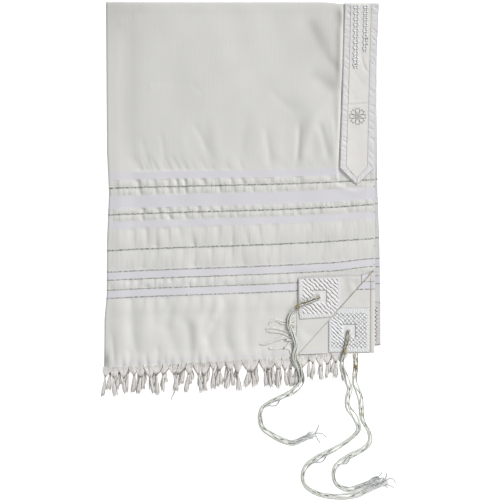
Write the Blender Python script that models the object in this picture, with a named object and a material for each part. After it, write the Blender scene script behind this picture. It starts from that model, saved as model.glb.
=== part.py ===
"""Tallit prayer shawl, folded once across its length and once across its width, laid flat.

Four quarters of one woven cloth lie on each other.  The top quarter runs from the crosswise
fold (far side, +Y) to the knotted fringe (near side, -Y), and from the rolled lengthwise fold
(-X) to the neck edge (+X).  Its near neck-side corner is turned back over it along a diagonal,
so that the second quarter shows beneath.  Half of the neckband runs down the neck edge.

Metres, +Z up.  The origin is the centre of the underside, in the plane the shawl rests on.
"""

import math

import bmesh
import bpy
from mathutils import Vector

for item in list(bpy.data.objects):
    bpy.data.objects.remove(item, do_unlink=True)

# ---------------------------------------------------------------- driving dimensions
WALL = 0.0012                # cloth, as a wall
SEAM = 0.0003                # room between pieces that touch
PLY = WALL + 0.0005          # one quarter and the room over it

FOLD_X = -0.3425             # outer side of the rolled fold
FOLD_Y = 0.4920              # outer side of the crosswise fold
HALF_LENGTH = 0.912          # from the crosswise fold to the woven end
NECK_EDGE_X = 0.3268         # neck edge of the top quarter
LAYER_2_EDGE_X = 0.3298
LAYER_3_EDGE_X = 0.3450
FRINGE_REACH = 0.072         # unwoven warp ends, knots and brushes together
TURNED_FRINGE = (0.845, 0.725)   # the shares of the width whose fringe shows, turned back
FRINGE_TIP_HEIGHT = 0.0042   # where the top quarter's brushes lie on those beneath
CORD_DIAMETER = 0.008        # a corner tassel's strands, laid together

# Heights of the four quarters, counted up from the one that lies on the table.
LAYER_4_TOP = WALL
LAYER_3_BOTTOM = PLY
LAYER_3_TOP = LAYER_3_BOTTOM + WALL
PATCH = 0.0008
LAYER_2_BOTTOM = LAYER_3_TOP + PATCH + 2 * SEAM
LAYER_2_TOP = LAYER_2_BOTTOM + WALL
LAYER_1_MID = LAYER_2_TOP + PATCH + 2 * SEAM + WALL / 2

# The rolled fold: the top quarter goes round to the bottom one.
ROLL_RADIUS = 0.0060         # to the middle of the wall
ROLL_SHOULDER = 0.062        # how far in the roll's swell reaches
ROLL_RETURN = 0.0075         # how far the cloth runs in under the stack
ROLL_FOOT = WALL / 2 + 0.00005   # middle of the wall where it lies on the table
# The crosswise fold: the top quarter goes round to the second one.
TURN_RISE = 0.0018           # how far the cloth swells over that fold
TURN_SHOULDER = 0.030
TURN_RETURN = 0.0035
TURN_SET_IN = 0.0028         # from the fold's outer side to where it starts to turn
CURL_STEPS = 5
CORNER_STEPS = 4

# The turned corner: its fold runs through this point, in this direction.
DIAGONAL_THROUGH = Vector((0.3160, -0.1905))
DIAGONAL_RUN = Vector((-0.6670, -0.7451)).normalized()
DIAGONAL_OUT = Vector((-DIAGONAL_RUN.y, DIAGONAL_RUN.x))
DIAGONAL_RADIUS = 0.0009

# The neck side is drawn up: distance down from the crosswise fold, and how far.
DRAWN_UP = (                 # down, up
    (0.000, 0.0000),
    (0.400, 0.0160),
    (0.468, 0.0275),
    (0.533, 0.0315),
    (0.625, 0.0365),
    (0.940, 0.0370),
)
CORNER_DRAWN_UP = 0.021      # more at the turned corner itself
# Outlines, as distance down from the crosswise fold and the edge's shift to +X.
ROLL_OUTLINE = (             # down, shift
    (0.000, -0.0025),
    (0.370, 0.0000),
    (0.475, 0.0050),
    (0.600, 0.0000),
    (0.730, -0.0005),
    (0.790, -0.0060),
    (0.940, -0.0070),
)
NECK_OUTLINE = (             # down, shift
    (0.000, 0.0080),
    (0.200, 0.0040),
    (0.430, 0.0000),
    (0.665, 0.0000),
    (0.685, -0.0055),
    (0.704, -0.0080),
    (0.757, -0.0010),
    (0.807, 0.0030),
    (0.940, 0.0030),
)
THIRD_OUTLINE = (            # down, shift
    (0.000, -0.0090),
    (0.250, -0.0100),
    (0.470, -0.0075),
    (0.600, -0.0025),
    (0.860, 0.0000),
)
# The large soft folds that lie in the top quarter.
SWELLS = (                   # x, y, half width, half length, turn in degrees, height
    (0.180, 0.190, 0.030, 0.075, -25.0, 0.0030),
    (0.212, 0.155, 0.020, 0.070, 0.0, 0.0015),
    (-0.060, 0.330, 0.110, 0.120, 10.0, 0.0012),
    (0.190, 0.395, 0.028, 0.050, 25.0, 0.0015),
    (-0.055, -0.300, 0.022, 0.060, -18.0, 0.0020),
    (-0.115, -0.335, 0.022, 0.060, -12.0, 0.0018),
    (-0.240, -0.330, 0.024, 0.050, 15.0, 0.0018),
)
CELL = 0.0235                # spacing of the cloth's rows and columns

# Every piece hangs from this empty, which brings the underside's centre to the origin.
SHAWL = bpy.data.objects.new("tallit", None)
SHAWL.location = (0.0020, 0.0010, 0.0)
bpy.context.scene.collection.objects.link(SHAWL)


# ---------------------------------------------------------------- small helpers
def read(table, at):
    """The second column of a table at a place in its first, straight between the rows."""
    for (low, value), (high, following) in zip(table, table[1:]):
        if at <= high:
            share = max(0.0, (at - low) / (high - low))
            return value + (following - value) * share
    return table[-1][1]


def soft(share):
    """0 to 1 with level ends."""
    share = min(1.0, max(0.0, share))
    return share * share * (3.0 - 2.0 * share)


def spread(start, end, count):
    """Evenly spread values from start to end."""
    return [start + (end - start) * i / count for i in range(count + 1)]


def steps(start, end, size):
    """Evenly spread values from start to end, about size apart."""
    return spread(start, end, max(1, round(abs(end - start) / size)))


def material(name, colour, roughness):
    """A Principled material; the colour is linear."""
    made = bpy.data.materials.new(name)
    made.use_nodes = True
    shader = made.node_tree.nodes["Principled BSDF"]
    shader.inputs["Base Color"].default_value = (*colour, 1.0)
    shader.inputs["Roughness"].default_value = roughness
    shader.inputs["Metallic"].default_value = 0.0
    return made


def place(name, mesh, finish):
    """An object in the shawl's own frame, shaded smooth."""
    item = bpy.data.objects.new(name, mesh)
    bpy.context.scene.collection.objects.link(item)
    item.parent = SHAWL
    mesh.materials.append(finish)
    mesh.shade_smooth()
    mesh.set_sharp_from_angle(angle=math.radians(40))
    return item


def finish_mesh(name, bm):
    """A mesh from a bmesh, its doubles merged and its faces turned out."""
    bmesh.ops.remove_doubles(bm, verts=bm.verts, dist=0.00005)
    bmesh.ops.recalc_face_normals(bm, faces=bm.faces)
    mesh = bpy.data.meshes.new(name)
    bm.to_mesh(mesh)
    bm.free()
    return mesh


def wall(name, bm, finish, thickness=WALL):
    """A sheet given its thickness, half to each side."""
    item = place(name, finish_mesh(name, bm), finish)
    solidify = item.modifiers.new("wall", "SOLIDIFY")
    solidify.thickness = thickness
    solidify.offset = 0.0
    solidify.use_even_offset = True
    solidify.use_rim = True
    return item


# ---------------------------------------------------------------- the top quarter's form
def fold_line_y(x):
    """Where the crosswise fold starts to turn; it drops a little at the neckband."""
    return FOLD_Y - TURN_SET_IN - 0.005 * soft((x - 0.20) / 0.06)


def crest_x(down):
    """Where the rolled fold starts to turn."""
    return FOLD_X + read(ROLL_OUTLINE, down) + ROLL_RADIUS + WALL / 2


def neck_x(down):
    return NECK_EDGE_X + read(NECK_OUTLINE, down)


def plan(across, along):
    """Place on the table of a point of the flat cloth, the corner not yet turned."""
    corner = CORNER_DRAWN_UP * soft((across - 0.72) / 0.28) * soft((along - 0.74) / 0.18)
    down = along - read(DRAWN_UP, along) * across - corner
    left, right = crest_x(down), neck_x(down)
    x = left + (right - left) * across
    return Vector((x, fold_line_y(x) - down, 0.0))


def top_height(x, y):
    """Height of the middle of the top quarter's wall."""
    roll = 2 * ROLL_RADIUS + ROLL_FOOT - LAYER_1_MID
    at_roll = 1.0 - soft((x - crest_x(FOLD_Y - y)) / ROLL_SHOULDER)
    at_turn = 1.0 - soft((fold_line_y(x) - y) / TURN_SHOULDER)
    height = LAYER_1_MID + roll * at_roll + TURN_RISE * at_turn * (1.0 - at_roll)
    for cx, cy, half_width, half_length, turn, rise in SWELLS:
        angle = math.radians(turn)
        dx, dy = x - cx, y - cy
        side = (dx * math.cos(angle) - dy * math.sin(angle)) / half_width
        end = (dx * math.sin(angle) + dy * math.cos(angle)) / half_length
        height += rise * math.exp(-side * side - end * end) * (1.0 - at_roll) * (1.0 - at_turn)
    return height


def turn_corner(point):
    """Lay a point of the top quarter, turned back where it lies beyond the diagonal."""
    flat = Vector((point.x, point.y))
    beyond = (flat - DIAGONAL_THROUGH).dot(DIAGONAL_OUT)
    foot = flat - DIAGONAL_OUT * beyond
    half_turn = math.pi * DIAGONAL_RADIUS
    if beyond <= 0.0:
        out, rise = beyond, 0.0
    elif beyond < half_turn:
        out = DIAGONAL_RADIUS * math.sin(beyond / DIAGONAL_RADIUS)
        rise = DIAGONAL_RADIUS * (1.0 - math.cos(beyond / DIAGONAL_RADIUS))
    else:
        out, rise = half_turn - beyond, 2 * DIAGONAL_RADIUS
    laid = foot + DIAGONAL_OUT * out
    return Vector((laid.x, laid.y, top_height(laid.x, laid.y) + rise))


def curl(crest, outward, bottom, angle, lift=0.0):
    """A point of the cloth where it goes over an edge, from its crest down to bottom."""
    radius = (crest.z - bottom) / 2
    out = (radius + lift) * math.sin(angle)
    height = crest.z - radius + (radius + lift) * math.cos(angle)
    return Vector((crest.x + outward.x * out, crest.y + outward.y * out, height))


def front_layer(finish):
    bm = bmesh.new()
    columns = steps(0.0, 1.0, CELL / (NECK_EDGE_X - FOLD_X))
    rows = steps(0.0, HALF_LENGTH, CELL)
    grid = [[bm.verts.new(plan(across, along)) for across in columns] for along in rows]
    for upper, lower in zip(grid, grid[1:]):
        for i in range(len(columns) - 1):
            bm.faces.new((upper[i], lower[i], lower[i + 1], upper[i + 1]))
    for quarter_turn in range(5):
        away = DIAGONAL_THROUGH + DIAGONAL_OUT * (math.pi * DIAGONAL_RADIUS * quarter_turn / 4)
        bmesh.ops.bisect_plane(
            bm, geom=bm.verts[:] + bm.edges[:] + bm.faces[:], dist=0.00002,
            plane_co=away.to_3d(), plane_no=DIAGONAL_OUT.to_3d(),
        )
    for vert in bm.verts:
        vert.co = turn_corner(vert.co)

    # The edge that curls under: up the rolled fold, round the far corner, along the other fold.
    left, up = Vector((-1.0, 0.0)), Vector((0.0, 1.0))
    stations = []            # crest vertex, outward, height it returns at, length of the return
    layer_2_mid = LAYER_2_TOP - WALL / 2
    for row in reversed(grid[1:]):
        stations.append((row[0], left, ROLL_FOOT, ROLL_RETURN))
    for k in range(CORNER_STEPS + 1):
        share = k / CORNER_STEPS
        angle = share * math.pi / 2
        outward = left * math.cos(angle) + up * math.sin(angle)
        bottom = ROLL_FOOT + (layer_2_mid - ROLL_FOOT) * share
        stations.append((grid[0][0], outward, bottom, 0.0))
    for vert in grid[0][1:]:
        stations.append((vert, up, layer_2_mid, TURN_RETURN))
    profiles = []
    for vert, outward, bottom, inward in stations:
        ring = [vert]
        for j in range(1, CURL_STEPS + 1):
            ring.append(bm.verts.new(curl(vert.co, outward, bottom, math.pi * j / CURL_STEPS)))
        last = ring[-1].co
        ring.append(bm.verts.new((last.x - outward.x * inward, last.y - outward.y * inward, last.z)))
        profiles.append(ring)
    for one, other in zip(profiles, profiles[1:]):
        for j in range(CURL_STEPS + 1):
            corners = []
            for vert in (one[j], one[j + 1], other[j + 1], other[j]):
                if vert not in corners:
                    corners.append(vert)
            bm.faces.new(corners)
    return wall("shawl_front_layer", bm, finish)


# ---------------------------------------------------------------- the three quarters beneath
# Rounded at the two folds, layered at the two open sides.  A row is one level of the outline.
LEVELS = (                   # height, in from the neck edge, which edge, roll, far fold, woven end
    (0.0, 0.0035, "third", 0.0170, 0.0034, 0.0140),
    (LAYER_4_TOP, 0.0035, "third", 0.0170, 0.0022, 0.0140),
    (LAYER_4_TOP, 0.0120, "third", 0.0170, 0.0022, 0.0240),
    (LAYER_3_BOTTOM, 0.0120, "third", 0.0095, 0.0022, 0.0240),
    (LAYER_3_BOTTOM, 0.0, "third", 0.0095, 0.0022, 0.0120),
    (LAYER_3_TOP, 0.0, "third", 0.0080, 0.0034, 0.0120),
    (LAYER_3_TOP, 0.0240, "third", 0.0080, 0.0090, 0.0240),
    (LAYER_2_BOTTOM, 0.0240, "third", 0.0080, 0.0090, 0.0240),
    (LAYER_2_BOTTOM, 0.0, "second", 0.0080, 0.0075, 0.0),
    (LAYER_2_TOP, 0.0, "second", 0.0095, 0.0075, 0.0),
)
WOVEN_END_Y = (              # x, y of the second quarter's woven end
    (-0.345, -0.4120),
    (0.190, -0.3930),
    (0.225, -0.3868),
    (0.330, -0.3855),
)
END_STATIONS = (-0.100, 0.100, 0.190, 0.225, 0.255)   # x of the end's sections
THIRD_END_DRAWN_UP = 0.0075  # the third quarter ends higher at the neck side


def layer_outline(level):
    """The closed outline of one level, as points in order round it."""
    height, edge_in, edge, roll_in, far_in, end_in = level
    points = []
    right_x = LAYER_3_EDGE_X if edge == "third" else LAYER_2_EDGE_X
    table = THIRD_OUTLINE if edge == "third" else NECK_OUTLINE[:4]

    def side(down):
        return right_x + read(table, down) - edge_in

    def end(x):
        neck_share = soft((x - FOLD_X) / (LAYER_3_EDGE_X - FOLD_X))
        draw = THIRD_END_DRAWN_UP * neck_share if edge == "third" else 0.0
        return read(WOVEN_END_Y, x) + end_in + draw

    def roll(down):
        return FOLD_X + read(ROLL_OUTLINE, down) + roll_in

    def far(x):
        return fold_line_y(x) + TURN_SET_IN - far_in

    bottom_left = (roll(0.90), end(roll(0.90)))
    bottom_right = (side(0.86), end(side(0.86)))
    top_left = (roll(0.0), far(roll(0.0)))
    top_right = (side(0.0), far(side(0.0)))
    for x in (bottom_left[0], *END_STATIONS):
        points.append((x, end(x)))
    for y in spread(bottom_right[1], top_right[1], 10)[:-1]:
        points.append((side(FOLD_Y - y), y))
    for x in spread(top_right[0], top_left[0], 14)[:-1]:
        points.append((x, far(x)))
    for y in spread(top_left[1], bottom_left[1], 36)[:-1]:
        points.append((roll(FOLD_Y - y), y))
    return [Vector((x, y, height)) for x, y in points]


def hidden_layers(finish):
    bm = bmesh.new()
    rings = [[bm.verts.new(point) for point in layer_outline(level)] for level in LEVELS]
    for lower, upper in zip(rings, rings[1:]):
        count = len(lower)
        for i in range(count):
            after = (i + 1) % count
            bm.faces.new((lower[i], lower[after], upper[after], upper[i]))
    bm.faces.new(list(reversed(rings[0])))
    bm.faces.new(rings[-1])
    return place("shawl_hidden_layers", finish_mesh("shawl_hidden_layers", bm), finish)


# ---------------------------------------------------------------- pieces laid on the cloth
def on_top(x, y, lift):
    return Vector((x, y, top_height(x, y) + lift))


def on_turned_corner(x, y, lift):
    return Vector((x, y, top_height(x, y) + 2 * DIAGONAL_RADIUS + lift))


def level_at(height):
    """A flat bed at a height, for pieces that lie on the second or third quarter."""
    return lambda x, y, lift: Vector((x, y, height + lift))


def laid_strip(name, rows, bed, lift, thickness, finish, across=2, wrap=()):
    """A wall over a bed, between two edges.

    Each row holds a point of one edge and the point of the other that it joins.  wrap holds
    the angles at which the strip also goes over the crosswise fold, from its first row.
    """
    lift = lift + thickness / 2
    bm = bmesh.new()
    lines = []
    for angle in wrap:
        line = []
        for i in range(across + 1):
            x = rows[0][0] + (rows[0][2] - rows[0][0]) * i / across
            crest = on_top(x, fold_line_y(x), 0.0)
            line.append(curl(crest, Vector((0.0, 1.0)), LAYER_2_TOP - WALL / 2, angle, lift))
        lines.append(line)
    for above, below in zip(rows, rows[1:]):
        run = max(math.dist(above[:2], below[:2]), math.dist(above[2:], below[2:]))
        for share in steps(0.0, 1.0, CELL / run)[(0 if above is rows[0] else 1):]:
            row = [a + (b - a) * share for a, b in zip(above, below)]
            line = []
            for i in range(across + 1):
                x = row[0] + (row[2] - row[0]) * i / across
                y = row[1] + (row[3] - row[1]) * i / across
                line.append(bed(x, y, lift))
            lines.append(line)
    grid = [[bm.verts.new(point) for point in line] for line in lines]
    for upper, lower in zip(grid, grid[1:]):
        for i in range(across):
            bm.faces.new((upper[i], lower[i], lower[i + 1], upper[i + 1]))
    return wall(name, bm, finish, thickness)


def neckband(lining, cream, satin):
    """Lining, centre panel and the ribbon round it, all over the crosswise fold."""
    over_fold = [math.radians(angle) for angle in (115, 85, 55, 28)]
    far = fold_line_y(0.30)
    lining_lift = WALL / 2 + 3 * SEAM
    lining_wall = 0.0008
    top_lift = lining_lift + lining_wall + 2 * SEAM
    ribbon_wall = 0.0010
    # Rows of the band down the neck edge: x and y of one edge, x and y of the other.
    laid_strip("neckband_lining", (
        (0.2530, far, 0.3400, far),
        (0.2480, 0.290, 0.3325, 0.290),
        (0.2405, 0.078, 0.3298, 0.078),
        (0.2835, 0.0335, 0.2855, 0.0335),
    ), on_top, lining_lift, lining_wall, lining, across=3, wrap=over_fold)
    laid_strip("neckband_centre", (
        (0.2690, far, 0.3215, far),
        (0.2643, 0.290, 0.3160, 0.290),
        (0.2575, 0.080, 0.3115, 0.080),
        (0.2842, 0.0505, 0.2858, 0.0505),
    ), on_top, top_lift, ribbon_wall, cream, across=2, wrap=over_fold)
    laid_strip("neckband_ribbon_body", (
        (0.2550, far, 0.2680, far),
        (0.2500, 0.290, 0.2633, 0.290),
        (0.2425, 0.0765, 0.2565, 0.0800),
        (0.2842, 0.0355, 0.2842, 0.0490),
    ), on_top, top_lift, ribbon_wall, satin, across=1, wrap=over_fold)
    laid_strip("neckband_ribbon_edge", (
        (0.3225, far, 0.3390, far),
        (0.3170, 0.290, 0.3315, 0.290),
        (0.3125, 0.0800, 0.3288, 0.0765),
        (0.2852, 0.0490, 0.2852, 0.0355),
    ), on_top, top_lift, ribbon_wall, satin, across=1, wrap=over_fold)


def patches(brocade, hemming):
    """The corner patches that show, and the hem beside the second one."""
    laid_strip("patch_turned_corner", (
        (0.1385, -0.2005, 0.2475, -0.1935),
        (0.1385, -0.3005, 0.2475, -0.2780),
        (0.1440, -0.3060, 0.2280, -0.3010),
    ), on_turned_corner, WALL / 2 + SEAM, PATCH, brocade, across=5)
    laid_strip("patch_second_layer", (
        (0.2140, -0.2735, 0.3180, -0.2735),
        (0.2140, -0.3850, 0.3180, -0.3850),
    ), level_at(LAYER_2_TOP), SEAM, PATCH, brocade, across=1)
    laid_strip("patch_third_layer", (
        (0.3225, -0.2590, 0.3445, -0.2590),
        (0.3225, -0.3660, 0.3445, -0.3660),
    ), level_at(LAYER_3_TOP), SEAM, PATCH, brocade, across=1)
    laid_strip("hem_second_layer", (
        (0.3186, -0.1890, 0.3294, -0.1890),
        (0.3186, -0.3848, 0.3294, -0.3848),
    ), level_at(LAYER_2_TOP), SEAM, PATCH, hemming, across=1)


def woven_end(x):
    """Where the top quarter's weaving ends."""
    across = (x - crest_x(HALF_LENGTH)) / (NECK_EDGE_X - crest_x(HALF_LENGTH))
    return plan(across, HALF_LENGTH).y


def fringes(finish):
    """Plain bodies of the fringes' reach, from the woven end to the brushes' tips."""
    def droop(x, y, lift):
        """A bed that falls from the woven end to the tips."""
        fall = soft((woven_end(x) - y) / FRINGE_REACH)
        return Vector((x, y, LAYER_1_MID + (FRINGE_TIP_HEIGHT - LAYER_1_MID) * fall + lift))

    rows = []
    for x in steps(-0.3470, 0.1330, CELL):
        root = woven_end(x) - 2 * SEAM
        rows.append((x, root, x, root - FRINGE_REACH))
    laid_strip("fringe_front_layer", rows, droop, -WALL / 2, WALL, finish, across=3)
    beneath = bmesh.new()
    sections = []
    for x in (-0.3330, *END_STATIONS):
        root = read(WOVEN_END_Y, x) - 2 * SEAM
        tip = root - FRINGE_REACH
        corners = ((root, 0.0), (tip, 0.0), (tip, 0.0022), (root, 0.0048))
        sections.append([beneath.verts.new((x, y, z)) for y, z in corners])
    for one, other in zip(sections, sections[1:]):
        for i in range(4):
            after = (i + 1) % 4
            beneath.faces.new((one[i], one[after], other[after], other[i]))
    beneath.faces.new(sections[0])
    beneath.faces.new(list(reversed(sections[-1])))
    place("fringe_hidden_layers", finish_mesh("fringe_hidden_layers", beneath), finish)
    rows = []
    for across in steps(*TURNED_FRINGE, 0.03):
        root = turn_corner(plan(across, HALF_LENGTH))
        rows.append((root.x - FRINGE_REACH, root.y, root.x - 2 * SEAM, root.y))
    laid_strip("fringe_turned_corner", rows, on_top, WALL / 2 + SEAM, 0.0010, finish, across=4)


# ---------------------------------------------------------------- the corner tassels
# Each route runs from the hole in its patch to where its strands fray: x, y, z.
TURNED_ROUTE = (
    (0.1925, -0.2440, 0.0156),
    (0.1660, -0.2560, 0.0156),
    (0.1375, -0.2688, 0.0155),
    (0.1175, -0.2913, 0.0142),
    (0.1150, -0.3163, 0.0145),
    (0.1250, -0.3413, 0.0147),
    (0.1330, -0.3663, 0.0147),
    (0.1290, -0.3963, 0.0143),
    (0.1415, -0.4253, 0.0108),
    (0.1475, -0.4563, 0.0092),
    (0.1300, -0.4788, 0.0085),
    (0.1025, -0.4938, 0.0060),
    (0.0690, -0.5088, 0.0042),
    (0.0475, -0.5263, 0.0042),
    (0.0435, -0.5528, 0.0042),
    (0.0512, -0.5758, 0.0042),
    (0.0768, -0.5938, 0.0042),
    (0.1022, -0.6063, 0.0042),
    (0.1275, -0.6113, 0.0042),
    (0.1558, -0.5988, 0.0042),
    (0.1780, -0.5880, 0.0042),
)
SECOND_ROUTE = (
    (0.2650, -0.3288, 0.0110),
    (0.2625, -0.3488, 0.0110),
    (0.2550, -0.3813, 0.0110),
    (0.2475, -0.4175, 0.0096),
    (0.2590, -0.4508, 0.0072),
    (0.2675, -0.4763, 0.0046),
    (0.2625, -0.5010, 0.0042),
    (0.2645, -0.5240, 0.0042),
    (0.2808, -0.5475, 0.0042),
    (0.2900, -0.5770, 0.0042),
    (0.2725, -0.5988, 0.0042),
    (0.2350, -0.6238, 0.0042),
    (0.1915, -0.6463, 0.0042),
    (0.1608, -0.6675, 0.0042),
    (0.1500, -0.6930, 0.0042),
    (0.1550, -0.7163, 0.0042),
    (0.1763, -0.7338, 0.0042),
    (0.2093, -0.7438, 0.0042),
    (0.2475, -0.7463, 0.0042),
    (0.2858, -0.7413, 0.0042),
    (0.3240, -0.7235, 0.0042),
    (0.3620, -0.7060, 0.0042),
)
THIRD_ROUTE = (
    (0.2810, -0.3868, 0.0042),
    (0.2828, -0.4200, 0.0042),
    (0.2795, -0.4563, 0.0042),
    (0.2885, -0.4820, 0.0042),
    (0.2955, -0.5063, 0.0042),
    (0.2990, -0.5500, 0.0042),
    (0.3150, -0.5820, 0.0042),
    (0.3180, -0.6088, 0.0042),
    (0.2985, -0.6288, 0.0042),
    (0.2650, -0.6463, 0.0042),
    (0.2375, -0.6650, 0.0042),
    (0.2273, -0.6855, 0.0042),
    (0.2310, -0.7090, 0.0042),
    (0.2475, -0.7235, 0.0042),
    (0.2735, -0.7275, 0.0042),
    (0.3100, -0.7135, 0.0042),
    (0.3440, -0.7000, 0.0042),
)


def through(route, spacing):
    """Points a spacing apart on the smooth curve through a route's points."""
    points = [Vector(point) for point in route]
    points = [2 * points[0] - points[1]] + points + [2 * points[-1] - points[-2]]
    fine = []
    for a, b, c, d in zip(points, points[1:], points[2:], points[3:]):
        for i in range(12):
            t = i / 12
            fine.append(0.5 * (2 * b + (c - a) * t + (2 * a - 5 * b + 4 * c - d) * t * t
                               + (3 * b - a - 3 * c + d) * t ** 3))
    fine.append(points[-2])
    length = sum((b - a).length for a, b in zip(fine, fine[1:]))
    count = round(length / spacing)
    even = [fine[0]]
    walked, wanted = 0.0, 1
    for a, b in zip(fine, fine[1:]):
        run = (b - a).length
        while wanted < count and walked + run >= length * wanted / count:
            even.append(a.lerp(b, (length * wanted / count - walked) / run))
            wanted += 1
        walked += run
    return even + [fine[-1]]


def tzitzit(name, route, finish):
    """One corner tassel's strands as a plain tube of their reach."""
    points = through(route, 3 * CORD_DIAMETER)
    curve = bpy.data.curves.new(name, "CURVE")
    curve.dimensions = "3D"
    curve.bevel_depth = CORD_DIAMETER / 2
    curve.bevel_resolution = 2
    curve.use_fill_caps = True
    line = curve.splines.new("POLY")
    line.points.add(len(points) - 1)
    for knot, point in zip(line.points, points):
        knot.co = (*point, 1.0)
    curve.materials.append(finish)
    item = bpy.data.objects.new(name, curve)
    bpy.context.scene.collection.objects.link(item)
    item.parent = SHAWL
    return item


# ---------------------------------------------------------------- the shawl
wool = material("wool twill, off-white", (0.66, 0.65, 0.62), 0.9)
wool_below = material("wool twill in the folds", (0.58, 0.57, 0.56), 0.9)
lining_cotton = material("cotton lining", (0.60, 0.60, 0.57), 0.85)
cream_twill = material("cream twill", (0.72, 0.71, 0.67), 0.7)
satin_ribbon = material("satin ribbon", (0.67, 0.66, 0.70), 0.4)
silver_brocade = material("silver-white brocade", (0.67, 0.66, 0.66), 0.45)
warp_ends = material("knotted warp ends", (0.61, 0.59, 0.56), 0.9)
plied_wool = material("plied wool cord", (0.62, 0.63, 0.56), 0.85)

front_layer(wool)
hidden_layers(wool_below)
neckband(lining_cotton, cream_twill, satin_ribbon)
patches(silver_brocade, wool)
fringes(warp_ends)
tzitzit("tzitzit_turned_corner", TURNED_ROUTE, plied_wool)
tzitzit("tzitzit_second_layer", SECOND_ROUTE, plied_wool)
tzitzit("tzitzit_third_layer", THIRD_ROUTE, plied_wool)
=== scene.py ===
# %% [markdown]
# # A prayer shawl, folded in quarters and laid flat
# One woven wool cloth is folded once across its length and once across its width.  Its near
# neck-side corner is turned back over it.  The imported CAD model gives every piece its place,
# so the first step loads it.

# %% The frame
import math
import random

import bpy
import numpy as np
from mathutils import Matrix, Vector


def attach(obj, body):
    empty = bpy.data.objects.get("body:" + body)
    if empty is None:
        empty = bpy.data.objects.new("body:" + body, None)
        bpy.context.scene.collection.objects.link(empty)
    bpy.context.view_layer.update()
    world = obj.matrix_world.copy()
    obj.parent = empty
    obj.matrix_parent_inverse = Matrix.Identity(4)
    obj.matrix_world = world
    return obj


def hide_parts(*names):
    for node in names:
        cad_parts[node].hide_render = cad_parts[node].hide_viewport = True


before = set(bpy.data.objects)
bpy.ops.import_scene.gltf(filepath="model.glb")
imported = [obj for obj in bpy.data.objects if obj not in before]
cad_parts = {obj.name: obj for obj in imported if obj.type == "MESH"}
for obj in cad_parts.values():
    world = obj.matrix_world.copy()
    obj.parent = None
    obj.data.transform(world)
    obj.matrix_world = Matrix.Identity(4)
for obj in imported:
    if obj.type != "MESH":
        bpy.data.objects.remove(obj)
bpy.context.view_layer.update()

# %% [markdown]
# ## Measures
# Lengths are metres.  Most of these numbers are the CAD's own, so that cloth, band and tassels
# lie where their solids are; the neck rises are finer than the solids show.  Everything is made
# in the shawl's own frame and moved by SHIFT when it is finished.

# %% Measures shared with the CAD
SHIFT = Vector((0.0020, 0.0010, 0.0))    # from the shawl's own frame to the frame's origin
WALL = 0.0012                # a quarter's thickness in the CAD, which sets the levels
CLOTH = 0.0008               # thickness of the cloth that shows
FOLD_X, FOLD_Y = -0.3425, 0.4920         # the rolled fold and the crosswise fold
HALF_LENGTH = 0.912          # from the crosswise fold to the woven end
NECK_EDGE_X, SECOND_EDGE_X, THIRD_EDGE_X = 0.3268, 0.3298, 0.3450
# Height of the middle of each quarter's cloth, from the top one down.
LEVEL_1, LEVEL_2, LEVEL_3, LEVEL_4 = 0.0075, 0.0049, 0.0023, 0.0006
ROLL_RADIUS, ROLL_SHOULDER, ROLL_FOOT = 0.0060, 0.062, 0.00065
TURN_RISE, TURN_SHOULDER, TURN_SET_IN = 0.0018, 0.030, 0.0028
CORNER_DRAWN_UP = 0.021
# The line that the corner is turned back on: a point of it, its outward normal, its bend.
DIAGONAL_THROUGH = np.array((0.3160, -0.1905))
DIAGONAL_OUT = np.array((0.7451, -0.6670))
DIAGONAL_RADIUS = 0.0009
# Distance down the cloth from the crosswise fold, and how far its neck side is drawn up.
DRAWN_UP = ((0, 0), (0.400, 0.0160), (0.468, 0.0275), (0.533, 0.0315), (0.625, 0.0365),
            (0.940, 0.0370))
SECOND_DRAWN_UP = ((0, 0), (0.400, 0.0100), (0.720, 0.0165), (0.750, 0.0175), (0.912, 0.0310))
THIRD_DRAWN_UP = ((0, 0), (0.400, 0.0160), (0.468, 0.0275), (0.533, 0.0315), (0.625, 0.0335),
                  (0.700, 0.0310), (0.724, 0.0330), (0.745, 0.0335), (0.912, 0.0530))
# Distance along the cut, and how much further the neck side's end of a weft line is drawn up.
NECK_RISE = ((0.468, 0.0018), (0.624, 0.0012), (0.678, 0.0048), (0.698, 0.0056), (0.745, 0.0080))
SECOND_NECK_RISE = ((0.600, 0), (0.700, 0.0098), (0.760, 0.0102), (0.870, 0))
THIRD_NECK_RISE = ((0.300, 0), (0.500, 0.0030), (0.630, 0.0040), (0.680, 0.0075),
                   (0.750, 0.0077), (0.880, 0))
# Distance down from the crosswise fold, and an outline's shift to +X.
ROLL_OUTLINE = ((0, -0.0025), (0.370, 0), (0.475, 0.0050), (0.600, 0), (0.730, -0.0005),
                (0.790, -0.0060), (0.940, -0.0070))
NECK_OUTLINE = ((0, 0.0080), (0.200, 0.0040), (0.430, 0), (0.665, 0), (0.685, -0.0055),
                (0.704, -0.0080), (0.757, -0.0010), (0.807, 0.0030), (0.940, 0.0030))
THIRD_OUTLINE = ((0, -0.0090), (0.250, -0.0100), (0.470, -0.0075), (0.600, -0.0025), (0.860, 0))
# The large soft folds: x, y, half width, half length, turn in degrees, height.
SWELLS = (
    (0.180, 0.190, 0.030, 0.075, -25, 0.0030), (0.212, 0.155, 0.020, 0.070, 0, 0.0015),
    (-0.060, 0.330, 0.110, 0.120, 10, 0.0012), (0.190, 0.395, 0.028, 0.050, 25, 0.0015),
    (-0.055, -0.300, 0.022, 0.060, -18, 0.0020), (-0.115, -0.335, 0.022, 0.060, -12, 0.0018),
    (-0.240, -0.330, 0.024, 0.050, 15, 0.0018),
)
print("cloth", round(2 * HALF_LENGTH, 3), "m long")

# %% [markdown]
# ## Camera, light and floor
# A flat garment is looked at from straight above.  A long lens high up keeps its edges free of
# perspective.  A pale floor and wide soft lights leave only faint shadows; the stronger light
# stands low at the far right, so that creases and edges still show.

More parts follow.
